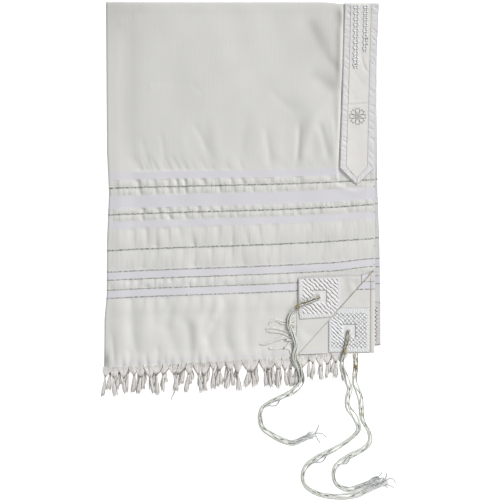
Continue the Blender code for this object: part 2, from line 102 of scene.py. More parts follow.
# %% Camera
CAMERA_HEIGHT = 3.2
VIEW_WIDTH = 1.25            # what the frame takes in at the cloth's level
VIEW_MIDDLE = (0.0195, -0.12775)
SENSOR = 36                  # mm
bpy.ops.object.select_all(action="DESELECT")
bpy.ops.object.camera_add(location=(*VIEW_MIDDLE, CAMERA_HEIGHT), rotation=(0, 0, 0))
camera = bpy.context.object
camera.data.sensor_width = SENSOR
camera.data.lens = SENSOR * (CAMERA_HEIGHT - LEVEL_1) / VIEW_WIDTH
bpy.context.scene.camera = camera
print("lens", round(camera.data.lens, 1), "mm")

# %% Light
FILL_PLACE, FILL_SIZE, FILL_POWER = (1.5, -2.1, 1.6), 1.6, 24
KEY_PLACE, KEY_STRENGTH, KEY_ANGLE = (2.9, 3.6, 2.4), 2.62, 14
SKY_COLOUR, SKY_STRENGTH = (0.93, 0.96, 1, 1), 0.37
bpy.ops.object.light_add(type="AREA", location=FILL_PLACE)
fill = bpy.context.object
fill.name = "fill"
fill.rotation_euler = Vector(FILL_PLACE).to_track_quat("Z", "Y").to_euler()
fill.data.size = FILL_SIZE
fill.data.energy = FILL_POWER
bpy.ops.object.light_add(type="SUN", location=KEY_PLACE)
sun = bpy.context.object
sun.name = "key"
sun.rotation_euler = Vector(KEY_PLACE).to_track_quat("Z", "Y").to_euler()
sun.data.energy = KEY_STRENGTH
sun.data.angle = math.radians(KEY_ANGLE)
world = bpy.data.worlds.new("studio")
bpy.context.scene.world = world
world.use_nodes = True
sky = world.node_tree.nodes["Background"].inputs
sky["Color"].default_value = SKY_COLOUR
sky["Strength"].default_value = SKY_STRENGTH
bpy.context.scene.view_settings.view_transform = "Standard"
print("key", KEY_STRENGTH, "fill", FILL_POWER, "sky", SKY_STRENGTH)


# %% Small helpers for numbers
def soft(share):
    """0 to 1 with level ends."""
    share = np.clip(share, 0.0, 1.0)
    return share * share * (3.0 - 2.0 * share)


def read(table, at):
    """The second column of a table at a place in its first, straight between the rows."""
    rows = np.array(table, float)
    return np.interp(at, rows[:, 0], rows[:, 1])


def lengths_along(line):
    """How far it is along a line of points to each of them."""
    steps = np.linalg.norm(np.diff(line, axis=0), axis=1)
    return np.concatenate([[0], np.cumsum(steps)])


def sideways(line, up=(0, 0, 1.0)):
    """The heading at each of a line's points, and the direction across it."""
    heading = np.gradient(line, axis=0)
    heading /= np.linalg.norm(heading, axis=1)[:, None]
    aside = np.cross(heading, up)
    return heading, aside / np.linalg.norm(aside, axis=1)[:, None]


def select_only(item):
    """Make one object the selected and active one."""
    bpy.ops.object.select_all(action="DESELECT")
    item.select_set(True)
    bpy.context.view_layer.objects.active = item


# %% Colours, nodes and materials
def linear(code):
    """An sRGB hex colour such as "#D8D6D0", as the linear colour that Blender works in."""
    shares = [int(code[i:i + 2], 16) / 255 for i in (1, 3, 5)]
    return (*[s / 12.92 if s <= 0.04045 else ((s + 0.055) / 1.055) ** 2.4 for s in shares], 1.0)


def darker(code, factor):
    """A hex colour made darker or lighter."""
    shares = [min(255, round(int(code[i:i + 2], 16) * factor)) for i in (1, 3, 5)]
    return "#%02X%02X%02X" % tuple(shares)


def add_node(tree, kind, sockets, **settings):
    """A node with its settings; a socket takes a value, a hex colour or another node's output.

    What comes back is its first output, and .node.outputs leads from there to the others."""
    made = tree.nodes.new("ShaderNode" + kind)
    for setting, value in settings.items():
        setattr(made, setting, value)
    shown = [socket for socket in made.inputs if socket.enabled]
    for key, value in sockets.items():
        socket = shown[key] if isinstance(key, int) else next(s for s in shown if s.name == key)
        if isinstance(value, bpy.types.NodeSocket):
            tree.links.new(value, socket)
        else:
            socket.default_value = linear(value) if isinstance(value, str) else value
    return next(socket for socket in made.outputs if socket.enabled)


def new_material(name, colour, **sockets):
    """A Principled material: its colour, and the sockets that are the same all over."""
    made = bpy.data.materials.new(name)
    made.use_nodes = True
    shader = made.node_tree.nodes["Principled BSDF"]
    shader.inputs["Base Color"].default_value = linear(colour)
    for socket, value in sockets.items():
        shader.inputs[socket.replace("_", " ")].default_value = value
    return made, made.node_tree, shader


# %% Floor
# A roll of matt white paper; a little light of its own keeps it white, as on a light table.
paper = new_material("white_paper_sweep", "#FFFFFF", Roughness=0.9, Emission_Strength=0.75,
                     Emission_Color=(1, 1, 1, 1))[0]
FLOOR_SIZE, FLOOR_TOP = 30, -0.0003
bpy.ops.object.select_all(action="DESELECT")
bpy.ops.mesh.primitive_plane_add(size=FLOOR_SIZE, location=(0, 0, FLOOR_TOP))
floor = bpy.context.object
floor.name = "floor"
floor.data.materials.append(paper)
print("lit and floored")

# %% [markdown]
# ## The wool
# The cloth is a fine worsted wool, woven in off-white yarn.  Its stripes run across it, so
# they are drawn from the cut's own UV map, which counts metres from the lengthwise fold and
# from the crosswise fold.  An image could hold them, but nodes stay sharp at any distance.  A
# point attribute of the top quarter paints shade into it, greying its folds, creases and edges.
# Broad bands are satin-woven in a bluish white; thin lines are silver yarn, which breaks up
# into dashes where it dips under the wool.


# %% Stripes of the cut
def stripe(tree, place, centre, half_width, edge=0.0006):
    """1 inside a stripe and 0 outside it, with a soft edge."""
    off = add_node(tree, "Math", {0: place, 1: centre}, operation="SUBTRACT")
    away = add_node(tree, "Math", {0: off}, operation="ABSOLUTE")
    return add_node(
        tree, "MapRange",
        {"Value": away, "From Min": half_width - edge, "From Max": half_width + edge,
         "To Min": 1.0, "To Max": 0.0}, interpolation_type="SMOOTHSTEP")


def stripes(tree, place, rows):
    """Several stripes as one mask; a row is centre, half width and strength."""
    total = None
    for centre, half_width, strength in rows:
        one = stripe(tree, place, centre, half_width)
        one = add_node(tree, "Math", {0: one, 1: strength}, operation="MULTIPLY")
        total = one if total is None else add_node(
            tree, "Math", {0: total, 1: one}, operation="MAXIMUM")
    return total


SATIN_BANDS = (              # centre, half width, strength
    (0.4384, 0.0109, 1.0), (0.5043, 0.0168, 1.0), (0.5616, 0.0097, 1.0),
    (0.6745, 0.0013, 0.6), (0.6880, 0.0088, 1.0), (0.7108, 0.0026, 0.55),
    (0.7330, 0.0088, 1.0), (0.7466, 0.0015, 0.6), (0.9020, 0.0016, 0.9),
)
SILVER_LINES = (             # the same
    (0.4682, 0.0020, 1.0), (0.5345, 0.0020, 1.0), (0.6238, 0.0020, 1.0),
    (0.6775, 0.0015, 0.95), (0.6980, 0.0014, 0.95), (0.7228, 0.0014, 0.9), (0.7431, 0.0015, 0.95),
)
GATHERED = (                 # plain wool between the bands, the same
    (0.4684, 0.0191, 1.0), (0.5365, 0.0154, 1.0), (0.6222, 0.0510, 0.45), (0.7110, 0.0128, 0.7),
)
RIB_PITCH = 0.0052           # threads are 0.5 mm apart; grouped ribs are drawn, ten to a rib
TWILL_PITCH = 0.0060         # satin floats, drawn coarser than their 0.8 mm so that they show


def wool(name, ground, band):
    """Worsted wool: matt and slightly hairy, with satin bands and silver lines."""
    made, tree, shader = new_material(
        name, ground, Sheen_Weight=0.12, Sheen_Roughness=0.6, Specular_IOR_Level=0.25)
    cut = add_node(tree, "UVMap", {}, uv_map="cut")
    across = add_node(tree, "SeparateXYZ", {0: cut})
    along = across.node.outputs["Y"]
    satin = stripes(tree, along, SATIN_BANDS)
    line = stripes(tree, along, SILVER_LINES)

    # Silver yarn shows in dashes about 7 mm long.
    stretched = add_node(tree, "Mapping", {"Vector": cut, "Scale": (150.0, 500.0, 1.0)})
    flecks = add_node(tree, "TexNoise", {"Vector": stretched, "Scale": 1.0, "Detail": 2.0})
    dashes = add_node(tree, "MapRange", {
        "Value": flecks, "From Min": 0.42, "From Max": 0.57, "To Min": 0.18, "To Max": 1.0})
    silver = add_node(tree, "Math", {0: line, 1: dashes}, operation="MULTIPLY")

    # Hand-spun unevenness: broad drifts of tone, and single thicker threads down the cloth.
    drift = add_node(tree, "TexNoise", {"Vector": cut, "Scale": 14.0, "Detail": 3.0})
    slubs = add_node(tree, "Mapping", {"Vector": cut, "Scale": (330.0, 12.0, 1.0)})
    threads = add_node(tree, "TexNoise", {"Vector": slubs, "Scale": 1.0, "Detail": 2.0})
    tone = add_node(tree, "Math", {0: drift, 1: 0.5}, operation="MULTIPLY")
    tone = add_node(tree, "Math", {0: threads, 1: 0.5, 2: tone}, operation="MULTIPLY_ADD")
    shade = add_node(tree, "MapRange", {"Value": tone, "From Min": 0.35, "From Max": 0.65})
    base = add_node(tree, "Mix", {
        "Factor": shade, "A": darker(ground, 0.985), "B": darker(ground, 1.01)}, data_type="RGBA")
    base = add_node(tree, "Mix", {"Factor": satin, "A": base, "B": band}, data_type="RGBA")

    # Between its bands the wool is drawn up in fine soft gathers: each hollow is a bump with a little
    # painted shade in it.
    gathered = stripes(tree, along, GATHERED)
    drawn = add_node(tree, "Mapping", {"Vector": cut, "Scale": (88.0, 17.0, 1.0)})
    gathers = add_node(tree, "TexNoise", {"Vector": drawn, "Scale": 1.0, "Detail": 1.0})
    gathers = add_node(tree, "MapRange", {"Value": gathers, "From Min": 0.26, "From Max": 0.54})
    hollows = add_node(tree, "Math", {0: 1.0, 1: gathers}, operation="SUBTRACT")
    hollows = add_node(tree, "Math", {0: hollows, 1: gathered}, operation="MULTIPLY")
    shaded = add_node(tree, "Math", {0: hollows, 1: 0.20}, operation="MULTIPLY")
    base = add_node(tree, "Mix", {"Factor": shaded, "A": base, "B": "#8F8B82"}, data_type="RGBA")
    # Painted shade: the top quarter's point attribute darkens its folds, creases and edges.
    stain_and_painted_shade = add_node(tree, "Attribute", {}, attribute_name="stain_and_painted_shade").node.outputs["Fac"]
    base = add_node(tree, "Mix", {"Factor": stain_and_painted_shade, "A": base, "B": "#77736C"}, data_type="RGBA")
    base = add_node(tree, "Mix", {"Factor": silver, "A": base, "B": "#7F827A"}, data_type="RGBA")
    tree.links.new(base, shader.inputs["Base Color"])

    # Wool is matt at 0.9, its satin floats smoother, and the silver yarn smoother still.
    rough = add_node(tree, "Math", {0: satin, 1: -0.30, 2: 0.90}, operation="MULTIPLY_ADD")
    rough = add_node(tree, "Math", {0: silver, 1: -0.25, 2: rough}, operation="MULTIPLY_ADD")
    tree.links.new(rough, shader.inputs["Roughness"])
    metal = add_node(tree, "Math", {0: silver, 1: 0.20}, operation="MULTIPLY")
    tree.links.new(metal, shader.inputs["Metallic"])

    # Ribs down the cloth, diagonal floats in the satin, and raised silver yarn.
    turns = add_node(tree, "Math", {0: across, 1: 2 * math.pi / RIB_PITCH}, operation="MULTIPLY")
    turns = add_node(tree, "Math", {0: threads, 1: 1.5, 2: turns}, operation="MULTIPLY_ADD")
    ribs = add_node(tree, "Math", {0: turns}, operation="SINE")
    lean = add_node(tree, "Math", {0: along, 1: 1.2, 2: across}, operation="MULTIPLY_ADD")
    floats = add_node(tree, "Math", {0: lean, 1: 2 * math.pi / TWILL_PITCH}, operation="MULTIPLY")
    floats = add_node(tree, "Math", {0: floats}, operation="SINE")
    floats = add_node(tree, "Math", {0: floats, 1: satin}, operation="MULTIPLY")
    relief = add_node(tree, "Math", {0: ribs, 1: 0.38, 2: floats}, operation="MULTIPLY_ADD")
    relief = add_node(tree, "Math", {0: line, 1: 4.0, 2: relief}, operation="MULTIPLY_ADD")
    relief = add_node(tree, "Math", {0: threads, 1: 1.0, 2: relief}, operation="MULTIPLY_ADD")
    bump = add_node(tree, "Bump", {"Height": relief, "Distance": 0.00006, "Strength": 1.0})
    bump = add_node(tree, "Bump", {
        "Height": hollows, "Distance": 0.0007, "Strength": 1.0, "Normal": bump}, invert=True)
    tree.links.new(bump, shader.inputs["Normal"])
    return made


worsted = wool("worsted_wool", "#E4E2DC", "#E3E0E3")
# The quarters beneath get a darker, greyer copy of the wool: painted shade for cloth that lies lower,
# in shade.
worsted_beneath = wool("worsted_wool_in_the_fold", "#D6D6D4", "#D5D3DA")
worsted_hem = wool("worsted_wool_hem", "#E3DFD7", "#D9D8DC")
print("stripes", len(SATIN_BANDS) + len(SILVER_LINES))

# %% [markdown]
# ## Cords and threads
# Tassels are plied wool cord.  A curve with a bevel would give one smooth hose, so each strand
# is a tube of its own along its own line, and a bundle is one joined mesh.  A UV map called
# "lay" counts metres along the strand and turns round it, which carries the twist.


# %% Strands
NEARLY_UP = (0.02, 0.03, 1.0)            # no strand heads just this way


def strands(name, runs, sides=6):
    """Joined tubes, closed at both ends; a run is its points and its radius at each, and
    an outer strand that shows its painted shaded side has a third part, how far round its UV
    map is turned."""
    corners, faces, laid = [], [], []
    for points, radii, *rolled in runs:
        points, rolled = np.asarray(points, float), sum(rolled)
        heading, aside = sideways(points, NEARLY_UP)
        above = np.cross(aside, heading)
        walked = lengths_along(points)
        first, count = len(corners), len(points)
        for i in range(count):
            for j in range(sides):
                angle = 2 * math.pi * j / sides
                ring = aside[i] * math.cos(angle) + above[i] * math.sin(angle)
                corners.append(points[i] + ring * radii[i])
        for i in range(count - 1):
            for j in range(sides):
                low, high = first + i * sides, first + (i + 1) * sides
                after = (j + 1) % sides
                faces.append((low + j, high + j, high + after, low + after))
                one, two = j / sides + rolled, (j + 1) / sides + rolled
                laid += [walked[i], one, walked[i + 1], one, walked[i + 1], two, walked[i], two]
        last = first + (count - 1) * sides
        faces.append(tuple(range(first, first + sides)))
        faces.append(tuple(range(last + sides - 1, last - 1, -1)))
        laid += [walked[0], 0.0] * sides + [walked[-1], 0.0] * sides
    mesh = bpy.data.meshes.new(name)
    mesh.from_pydata([tuple(c) for c in corners], [], faces)
    mesh.uv_layers.new(name="lay").data.foreach_set("uv", laid)
    item = bpy.data.objects.new(name, mesh)
    bpy.context.scene.collection.objects.link(item)
    return item


def finish(item, surface, slot, *nodes):
    """Give a piece its surface, bring it to the frame, hang it on what carries it, and hide the CAD
    parts that it replaces; slot is not used.
    """
    item.data.materials.clear()
    item.data.materials.append(surface)
    item.data.transform(Matrix.Translation(SHIFT))
    item.data.shade_smooth()
    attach(item, "root")
    if nodes:
        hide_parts(*nodes)
    print(item.name, len(item.data.polygons), "faces")
    return item


def through(route, spacing, fineness=12):
    """Points a spacing apart on the smooth curve through a route's points."""
    points = [Vector(point) for point in route]
    points = [2 * points[0] - points[1]] + points + [2 * points[-1] - points[-2]]
    fine = []
    for a, b, c, d in zip(points, points[1:], points[2:], points[3:]):
        for i in range(fineness):
            t = i / fineness
            fine.append(0.5 * (2 * b + (c - a) * t + (2 * a - 5 * b + 4 * c - d) * t * t
                               + (3 * b - a - 3 * c + d) * t ** 3))
    fine.append(points[-2])
    fine = np.array([tuple(point) for point in fine])
    walked = lengths_along(fine)
    wanted = np.linspace(0, walked[-1], round(walked[-1] / spacing) + 1)
    return np.stack([np.interp(wanted, walked, fine[:, k]) for k in range(3)], axis=1)


# %% Plied wool
PLY_TURN = 0.0045            # one turn of the plies, drawn coarser than 3 mm so that it shows


def plied(name, colour, shaded, stain, stain_from, stain_to, handled=0.0):
    """Plied wool: two twisted yarns, with painted shade at the sides and in the ply grooves, browner
    over the handled length.
    """
    made, tree, shader = new_material(
        name, colour, Roughness=0.85, Sheen_Weight=0.15, Specular_IOR_Level=0.3)
    lay = add_node(tree, "UVMap", {}, uv_map="lay")
    along = add_node(tree, "SeparateXYZ", {0: lay})
    round_it = along.node.outputs["Y"]
    turn = add_node(tree, "Math", {0: along, 1: 1 / PLY_TURN}, operation="MULTIPLY")
    turn = add_node(tree, "Math", {0: turn, 1: round_it}, operation="ADD")
    turn = add_node(tree, "Math", {0: turn, 1: 4 * math.pi}, operation="MULTIPLY")
    plies = add_node(tree, "Math", {0: turn}, operation="SINE")
    place = add_node(tree, "TexCoord", {}).node.outputs["Object"]
    blotches = add_node(tree, "TexNoise", {"Vector": place, "Scale": 55.0, "Detail": 3.0})
    stain_and_painted_shade = add_node(tree, "MapRange", {
        "Value": blotches, "From Min": stain_from, "From Max": stain_to})
    # Painted shade in the grooves between the plies.
    groove = add_node(tree, "MapRange", {
        "Value": plies, "From Min": -1.0, "From Max": 0.0, "To Min": 0.20, "To Max": 0.0})
    base = add_node(tree, "Mix", {
        "Factor": groove, "A": colour, "B": darker(colour, 0.72)}, data_type="RGBA")
    # Painted shade: away from the top of its UV ring a strand takes the shaded colour.
    off_top = add_node(tree, "Math", {0: round_it, 1: 0.25}, operation="SUBTRACT")
    off_top = add_node(tree, "Math", {0: off_top}, operation="ABSOLUTE")
    side = add_node(tree, "MapRange", {"Value": off_top, "From Min": 0.13, "From Max": 0.18})
    # Over the first 0.2 m of a handled cord the painted side shade is half as strong, where the
    # strands lie closer.
    if handled:              # the strands lie closer over the first stretch
        close = add_node(tree, "MapRange", {
            "Value": along, "From Min": 0.20, "From Max": 0.27,
            "To Min": 0.5, "To Max": 1.0})
        side = add_node(tree, "Math", {0: side, 1: close}, operation="MULTIPLY")
    base = add_node(tree, "Mix", {"Factor": side, "A": base, "B": shaded}, data_type="RGBA")
    if handled:
        handled_part = add_node(tree, "MapRange", {
            "Value": along, "From Min": 0.6 * handled, "From Max": handled,
            "To Min": 1.0, "To Max": 0.0})
        mottle = add_node(tree, "TexNoise", {"Vector": place, "Scale": 210.0, "Detail": 2.0})
        mottle = add_node(tree, "MapRange", {
            "Value": mottle, "From Min": 0.42, "From Max": 0.60, "To Max": 0.75})
        handled_part = add_node(tree, "Math", {0: handled_part, 1: mottle}, operation="MULTIPLY")
        base = add_node(tree, "Mix", {
            "Factor": handled_part, "A": base, "B": "#8F7650"}, data_type="RGBA")
    base = add_node(tree, "Mix", {"Factor": stain_and_painted_shade, "A": base, "B": stain}, data_type="RGBA")
    tree.links.new(base, shader.inputs["Base Color"])
    bump = add_node(tree, "Bump", {"Height": plies, "Distance": 0.0002, "Strength": 0.8})
    tree.links.new(bump, shader.inputs["Normal"])
    return made


# The second colour of each yarn below is the painted shade of its strands' sides.
corner_cord = plied("plied_wool_cord", "#ECEEE5", "#696E5B", "#C5C0A8", 0.60, 0.78, 0.075)
cord_end = plied("plied_wool_cord_end", "#D0D1D4", "#6C6F76", "#AAACB1", 0.55, 0.70)
knot_cord = plied("plied_wool_knots", "#C9BC97", "#86754E", "#8A7448", 0.45, 0.66)
warp_ends = plied("wool_warp_ends", "#F8F5F0", "#85796B", "#D0C6B8", 0.60, 0.80)
warp_knots = plied("wool_warp_knots", "#CFC3B3", "#8F7F6C", "#A08E78", 0.55, 0.75)
stray_yarn = plied("grey_stray_yarn", "#8D8A84", "#57544F", "#6F6C67", 0.50, 0.70)
turned_ends = plied("wool_warp_ends_of_corner", "#FFFDF9", "#DDD5C8", "#E2DACD", 0.62, 0.80)

# %% [markdown]
# ## The corner tassels
# A long tassel of plied strands hangs from a hole in each corner.  Three of them show.
# Each has a wound knot near its patch, runs loose from there, and frays at its end.  The
# strands are laid round the route that the CAD solid follows and twist slowly round one
# another, so that they cross as loose strands do.

# %% Routes of the three tassels
FIRST_ROUTE = (              # x, y, z, from the hole in the patch to where the strands part
    (0.1925, -0.2440, 0.0156), (0.1660, -0.2560, 0.0156), (0.1375, -0.2688, 0.0155),
    (0.1175, -0.2913, 0.0142), (0.1150, -0.3163, 0.0145), (0.1250, -0.3413, 0.0147),
    (0.1330, -0.3663, 0.0147), (0.1290, -0.3963, 0.0143), (0.1415, -0.4253, 0.0108),
    (0.1475, -0.4563, 0.0092), (0.1300, -0.4788, 0.0085), (0.1025, -0.4938, 0.0060),
    (0.0690, -0.5088, 0.0042), (0.0475, -0.5263, 0.0042), (0.0435, -0.5528, 0.0042),
    (0.0512, -0.5758, 0.0042), (0.0768, -0.5938, 0.0042), (0.1022, -0.6063, 0.0042),
    (0.1275, -0.6113, 0.0042), (0.1558, -0.5988, 0.0042), (0.1780, -0.5880, 0.0042),
)
SECOND_ROUTE = (
    (0.2650, -0.3288, 0.0110), (0.2625, -0.3488, 0.0110), (0.2550, -0.3813, 0.0110),
    (0.2475, -0.4175, 0.0096), (0.2590, -0.4508, 0.0072), (0.2675, -0.4763, 0.0046),
    (0.2625, -0.5010, 0.0042), (0.2645, -0.5240, 0.0042), (0.2808, -0.5475, 0.0042),
    (0.2900, -0.5770, 0.0042), (0.2725, -0.5988, 0.0042), (0.2350, -0.6238, 0.0042),
    (0.1915, -0.6463, 0.0042), (0.1608, -0.6675, 0.0042), (0.1500, -0.6930, 0.0042),
    (0.1550, -0.7163, 0.0042), (0.1763, -0.7338, 0.0042), (0.2093, -0.7438, 0.0042),
    (0.2475, -0.7463, 0.0042), (0.2858, -0.7413, 0.0042), (0.3240, -0.7235, 0.0042),
    (0.3620, -0.7060, 0.0042),
)
THIRD_ROUTE = (
    (0.2810, -0.3868, 0.0042), (0.2828, -0.4200, 0.0042), (0.2795, -0.4563, 0.0042),
    (0.2885, -0.4820, 0.0042), (0.2955, -0.5063, 0.0042), (0.2990, -0.5500, 0.0042),
    (0.3150, -0.5820, 0.0042), (0.3180, -0.6088, 0.0042), (0.2985, -0.6288, 0.0042),
    (0.2650, -0.6463, 0.0042), (0.2375, -0.6650, 0.0042), (0.2273, -0.6855, 0.0042),
    (0.2310, -0.7090, 0.0042), (0.2475, -0.7235, 0.0042), (0.2735, -0.7275, 0.0042),
    (0.3100, -0.7135, 0.0042), (0.3440, -0.7000, 0.0042),
)
STRAND_RADIUS = 0.0016
STRANDS = 7
TWIST = 0.36                 # metres in which the strands go once round one another
print("routes of", len(FIRST_ROUTE), len(SECOND_ROUTE), len(THIRD_ROUTE), "points")


# %% A bundle of strands and its frayed end
def along_route(route, spacing=0.004):
    """A route's points, the direction aside of each, and the way walked to each."""
    line = through(route, spacing)
    return line, -sideways(line)[1], lengths_along(line)


def bundle(name, route, knot_at, seed, narrow, tight=()):
    """The strands of one tassel along its route, twisted loosely round one another."""
    chance = random.Random(seed)
    line, aside, walked = along_route(route, 0.0035)
    width = narrow + (0.95 - narrow) * soft((walked - knot_at - 0.01) / 0.05)
    for place, reach in tight:
        width *= 1 - 0.42 * np.exp(-((walked - place) / reach) ** 2)
    runs = []
    for k in range(STRANDS):
        lag = 2 * math.pi * k / STRANDS + chance.uniform(-0.3, 0.3)
        turn = lag + 2 * math.pi * walked / TWIST + 0.7 * np.sin(walked * 19 + lag)
        flat = np.tanh(1.3 * np.cos(turn)) / math.tanh(1.3)
        out = 0.0064 * flat * width + 0.0003 * np.sin(walked * 83 + lag)
        points = line + aside * out[:, None]
        points[:, 2] += 0.0017 * np.sin(turn) - 0.0012
        points[:, 2] = np.maximum(points[:, 2], STRAND_RADIUS)
        runs.append((points, np.full(len(line), STRAND_RADIUS)))
    return strands(name, runs)


def frayed(route, seed, reach=0.070, count=7):
    """The last stretch of a tassel, where the plies have opened into wavy yarns."""
    chance = random.Random(seed)
    line, aside, walked = along_route(route, 0.003)
    last = walked > walked[-1] - reach
    line, aside, walked = line[last], aside[last], walked[last] - walked[last][0]
    runs = []
    for k in range(count):
        off = (2 * k / (count - 1) - 1) * (0.0012 + 0.0072 * soft(walked / reach))
        off += 0.0012 * np.sin(walked * chance.uniform(150, 260) + 2 * k)
        points = line + aside * off[:, None]
        opened = 0.0012 * soft(3 * walked / reach)
        points[:, 2] = 0.0036 + 0.0010 * np.sin(walked * 190 + 2.4 * k) + opened
        end = round(len(points) * chance.uniform(0.82, 1.0))
        runs.append((points[:end], np.full(end, 0.0011)))
    return runs


def loose_thread(points, radius=0.0019, tip=0.7):
    """One free strand's run through its points, a little thinner at its end."""
    line = through(points, 0.003)
    return line, radius * np.linspace(1.0, tip, len(line))


# %% A wound knot, and a whole tassel
KNOT_LENGTH, KNOT_RADIUS = 0.009, 0.0040
TURN_PITCH, TURN_POINTS = 0.0023, 12     # from one turn to the next, and points in a turn


def wound_knot(name, route, at):
    """A few turns of a strand round the bundle."""
    line, aside, walked = along_route(route, 0.002)
    count = TURN_POINTS * max(3, round(KNOT_LENGTH / TURN_PITCH))
    points = []
    for k in range(count + 1):
        place = at - KNOT_LENGTH / 2 + KNOT_LENGTH * k / count
        centre = np.array([np.interp(place, walked, line[:, i]) for i in range(3)])
        side = np.array([np.interp(place, walked, aside[:, i]) for i in range(3)])
        angle = 2 * math.pi * k / TURN_POINTS
        rise = 0.82 * KNOT_RADIUS * math.sin(angle) + 0.0008
        points.append(centre + side * KNOT_RADIUS * math.cos(angle) + np.array((0, 0, rise)))
    return strands(name, [(points, np.full(len(points), 0.0013))])


def tassel(name, route, knot_at, seed, loose, narrow, tight, node):
    """A corner tassel: its bundle, its wound knot, and the strands that stray or fray."""
    item = bundle(name, route, knot_at, seed, narrow, tight)
    finish(item, corner_cord, "tassel_cord", node)
    runs = [loose_thread(points) for points in loose] + frayed(route, seed)
    ends = finish(strands(name + "_ends", runs), cord_end, "tassel_cord", node)
    knot = finish(wound_knot(name + "_knot_1", route, knot_at), knot_cord, "tassel_cord", node)
    line, _, walked = along_route(route)
    print(name, "is", round(walked[-1], 3), "m long")


# %% The tassels
# Each loose strand's own points; Z is the height of one that lies on the table.
Z = 0.0018
tassel("tassel_turned_corner", FIRST_ROUTE, 0.062, 3, (
    ((0.1558, -0.5988, Z), (0.1790, -0.5885, Z), (0.1880, -0.5740, Z), (0.1905, -0.5650, Z)),
    ((0.1640, -0.5950, Z), (0.1850, -0.5875, 0.0026), (0.2000, -0.5890, Z), (0.2090, -0.5980, Z)),
    ((0.1640, -0.5960, Z), (0.1800, -0.5920, Z), (0.1875, -0.6030, Z), (0.1945, -0.6130, Z)),
    ((0.0930, -0.5000, Z), (0.0880, -0.5130, Z), (0.0800, -0.5190, Z), (0.0640, -0.5190, Z),
     (0.0560, -0.5220, Z)),
), 0.55, ((0.135, 0.06), (0.38, 0.05)), "tzitzit_turned_corner")
tassel("tassel_second_quarter", SECOND_ROUTE, 0.054, 7, (
    ((0.3240, -0.7235, Z), (0.3480, -0.7110, Z), (0.3590, -0.6960, Z), (0.3610, -0.6860, Z)),
    ((0.3400, -0.7160, Z), (0.3600, -0.7040, 0.0026), (0.3740, -0.7010, Z), (0.3830, -0.7120, Z)),
    ((0.3300, -0.7210, Z), (0.3600, -0.7170, Z), (0.3700, -0.7190, Z), (0.3800, -0.7260, Z)),
    ((0.2110, -0.6380, Z), (0.2060, -0.6500, Z), (0.1980, -0.6590, Z), (0.1830, -0.6610, Z),
     (0.1720, -0.6640, Z)),
), 0.50, ((0.30, 0.04), (0.47, 0.05)), "tzitzit_second_layer")
tassel("tassel_third_quarter", THIRD_ROUTE, 0.034, 11, (
    ((0.3100, -0.7135, Z), (0.3360, -0.7060, Z), (0.3490, -0.6990, 0.0026), (0.3560, -0.7090, Z)),
    ((0.3100, -0.7135, Z), (0.3330, -0.7010, Z), (0.3460, -0.6900, Z), (0.3480, -0.6850, Z)),
    ((0.3000, -0.7180, Z), (0.3280, -0.7170, Z), (0.3480, -0.7160, Z), (0.3640, -0.7250, Z)),
    ((0.2680, -0.6450, Z), (0.2650, -0.6570, Z), (0.2580, -0.6640, Z), (0.2440, -0.6650, Z),
     (0.2360, -0.6670, Z)),
), 0.80, ((0.20, 0.04), (0.37, 0.04)), "tzitzit_third_layer")

# %% [markdown]
# ## The top quarter
# The cloth is thin, so it is one grid with a wall added last, not a solid.  Cloth simulation
# could lay it, but its creases have known places, so they are listed: each is a soft
# trough or ridge along a short line.  Between woven bands the wool puckers, because satin and
# silver yarn draw it up; those marks are listed band by band.  Columns and rows are closest
# where the folds are smallest.


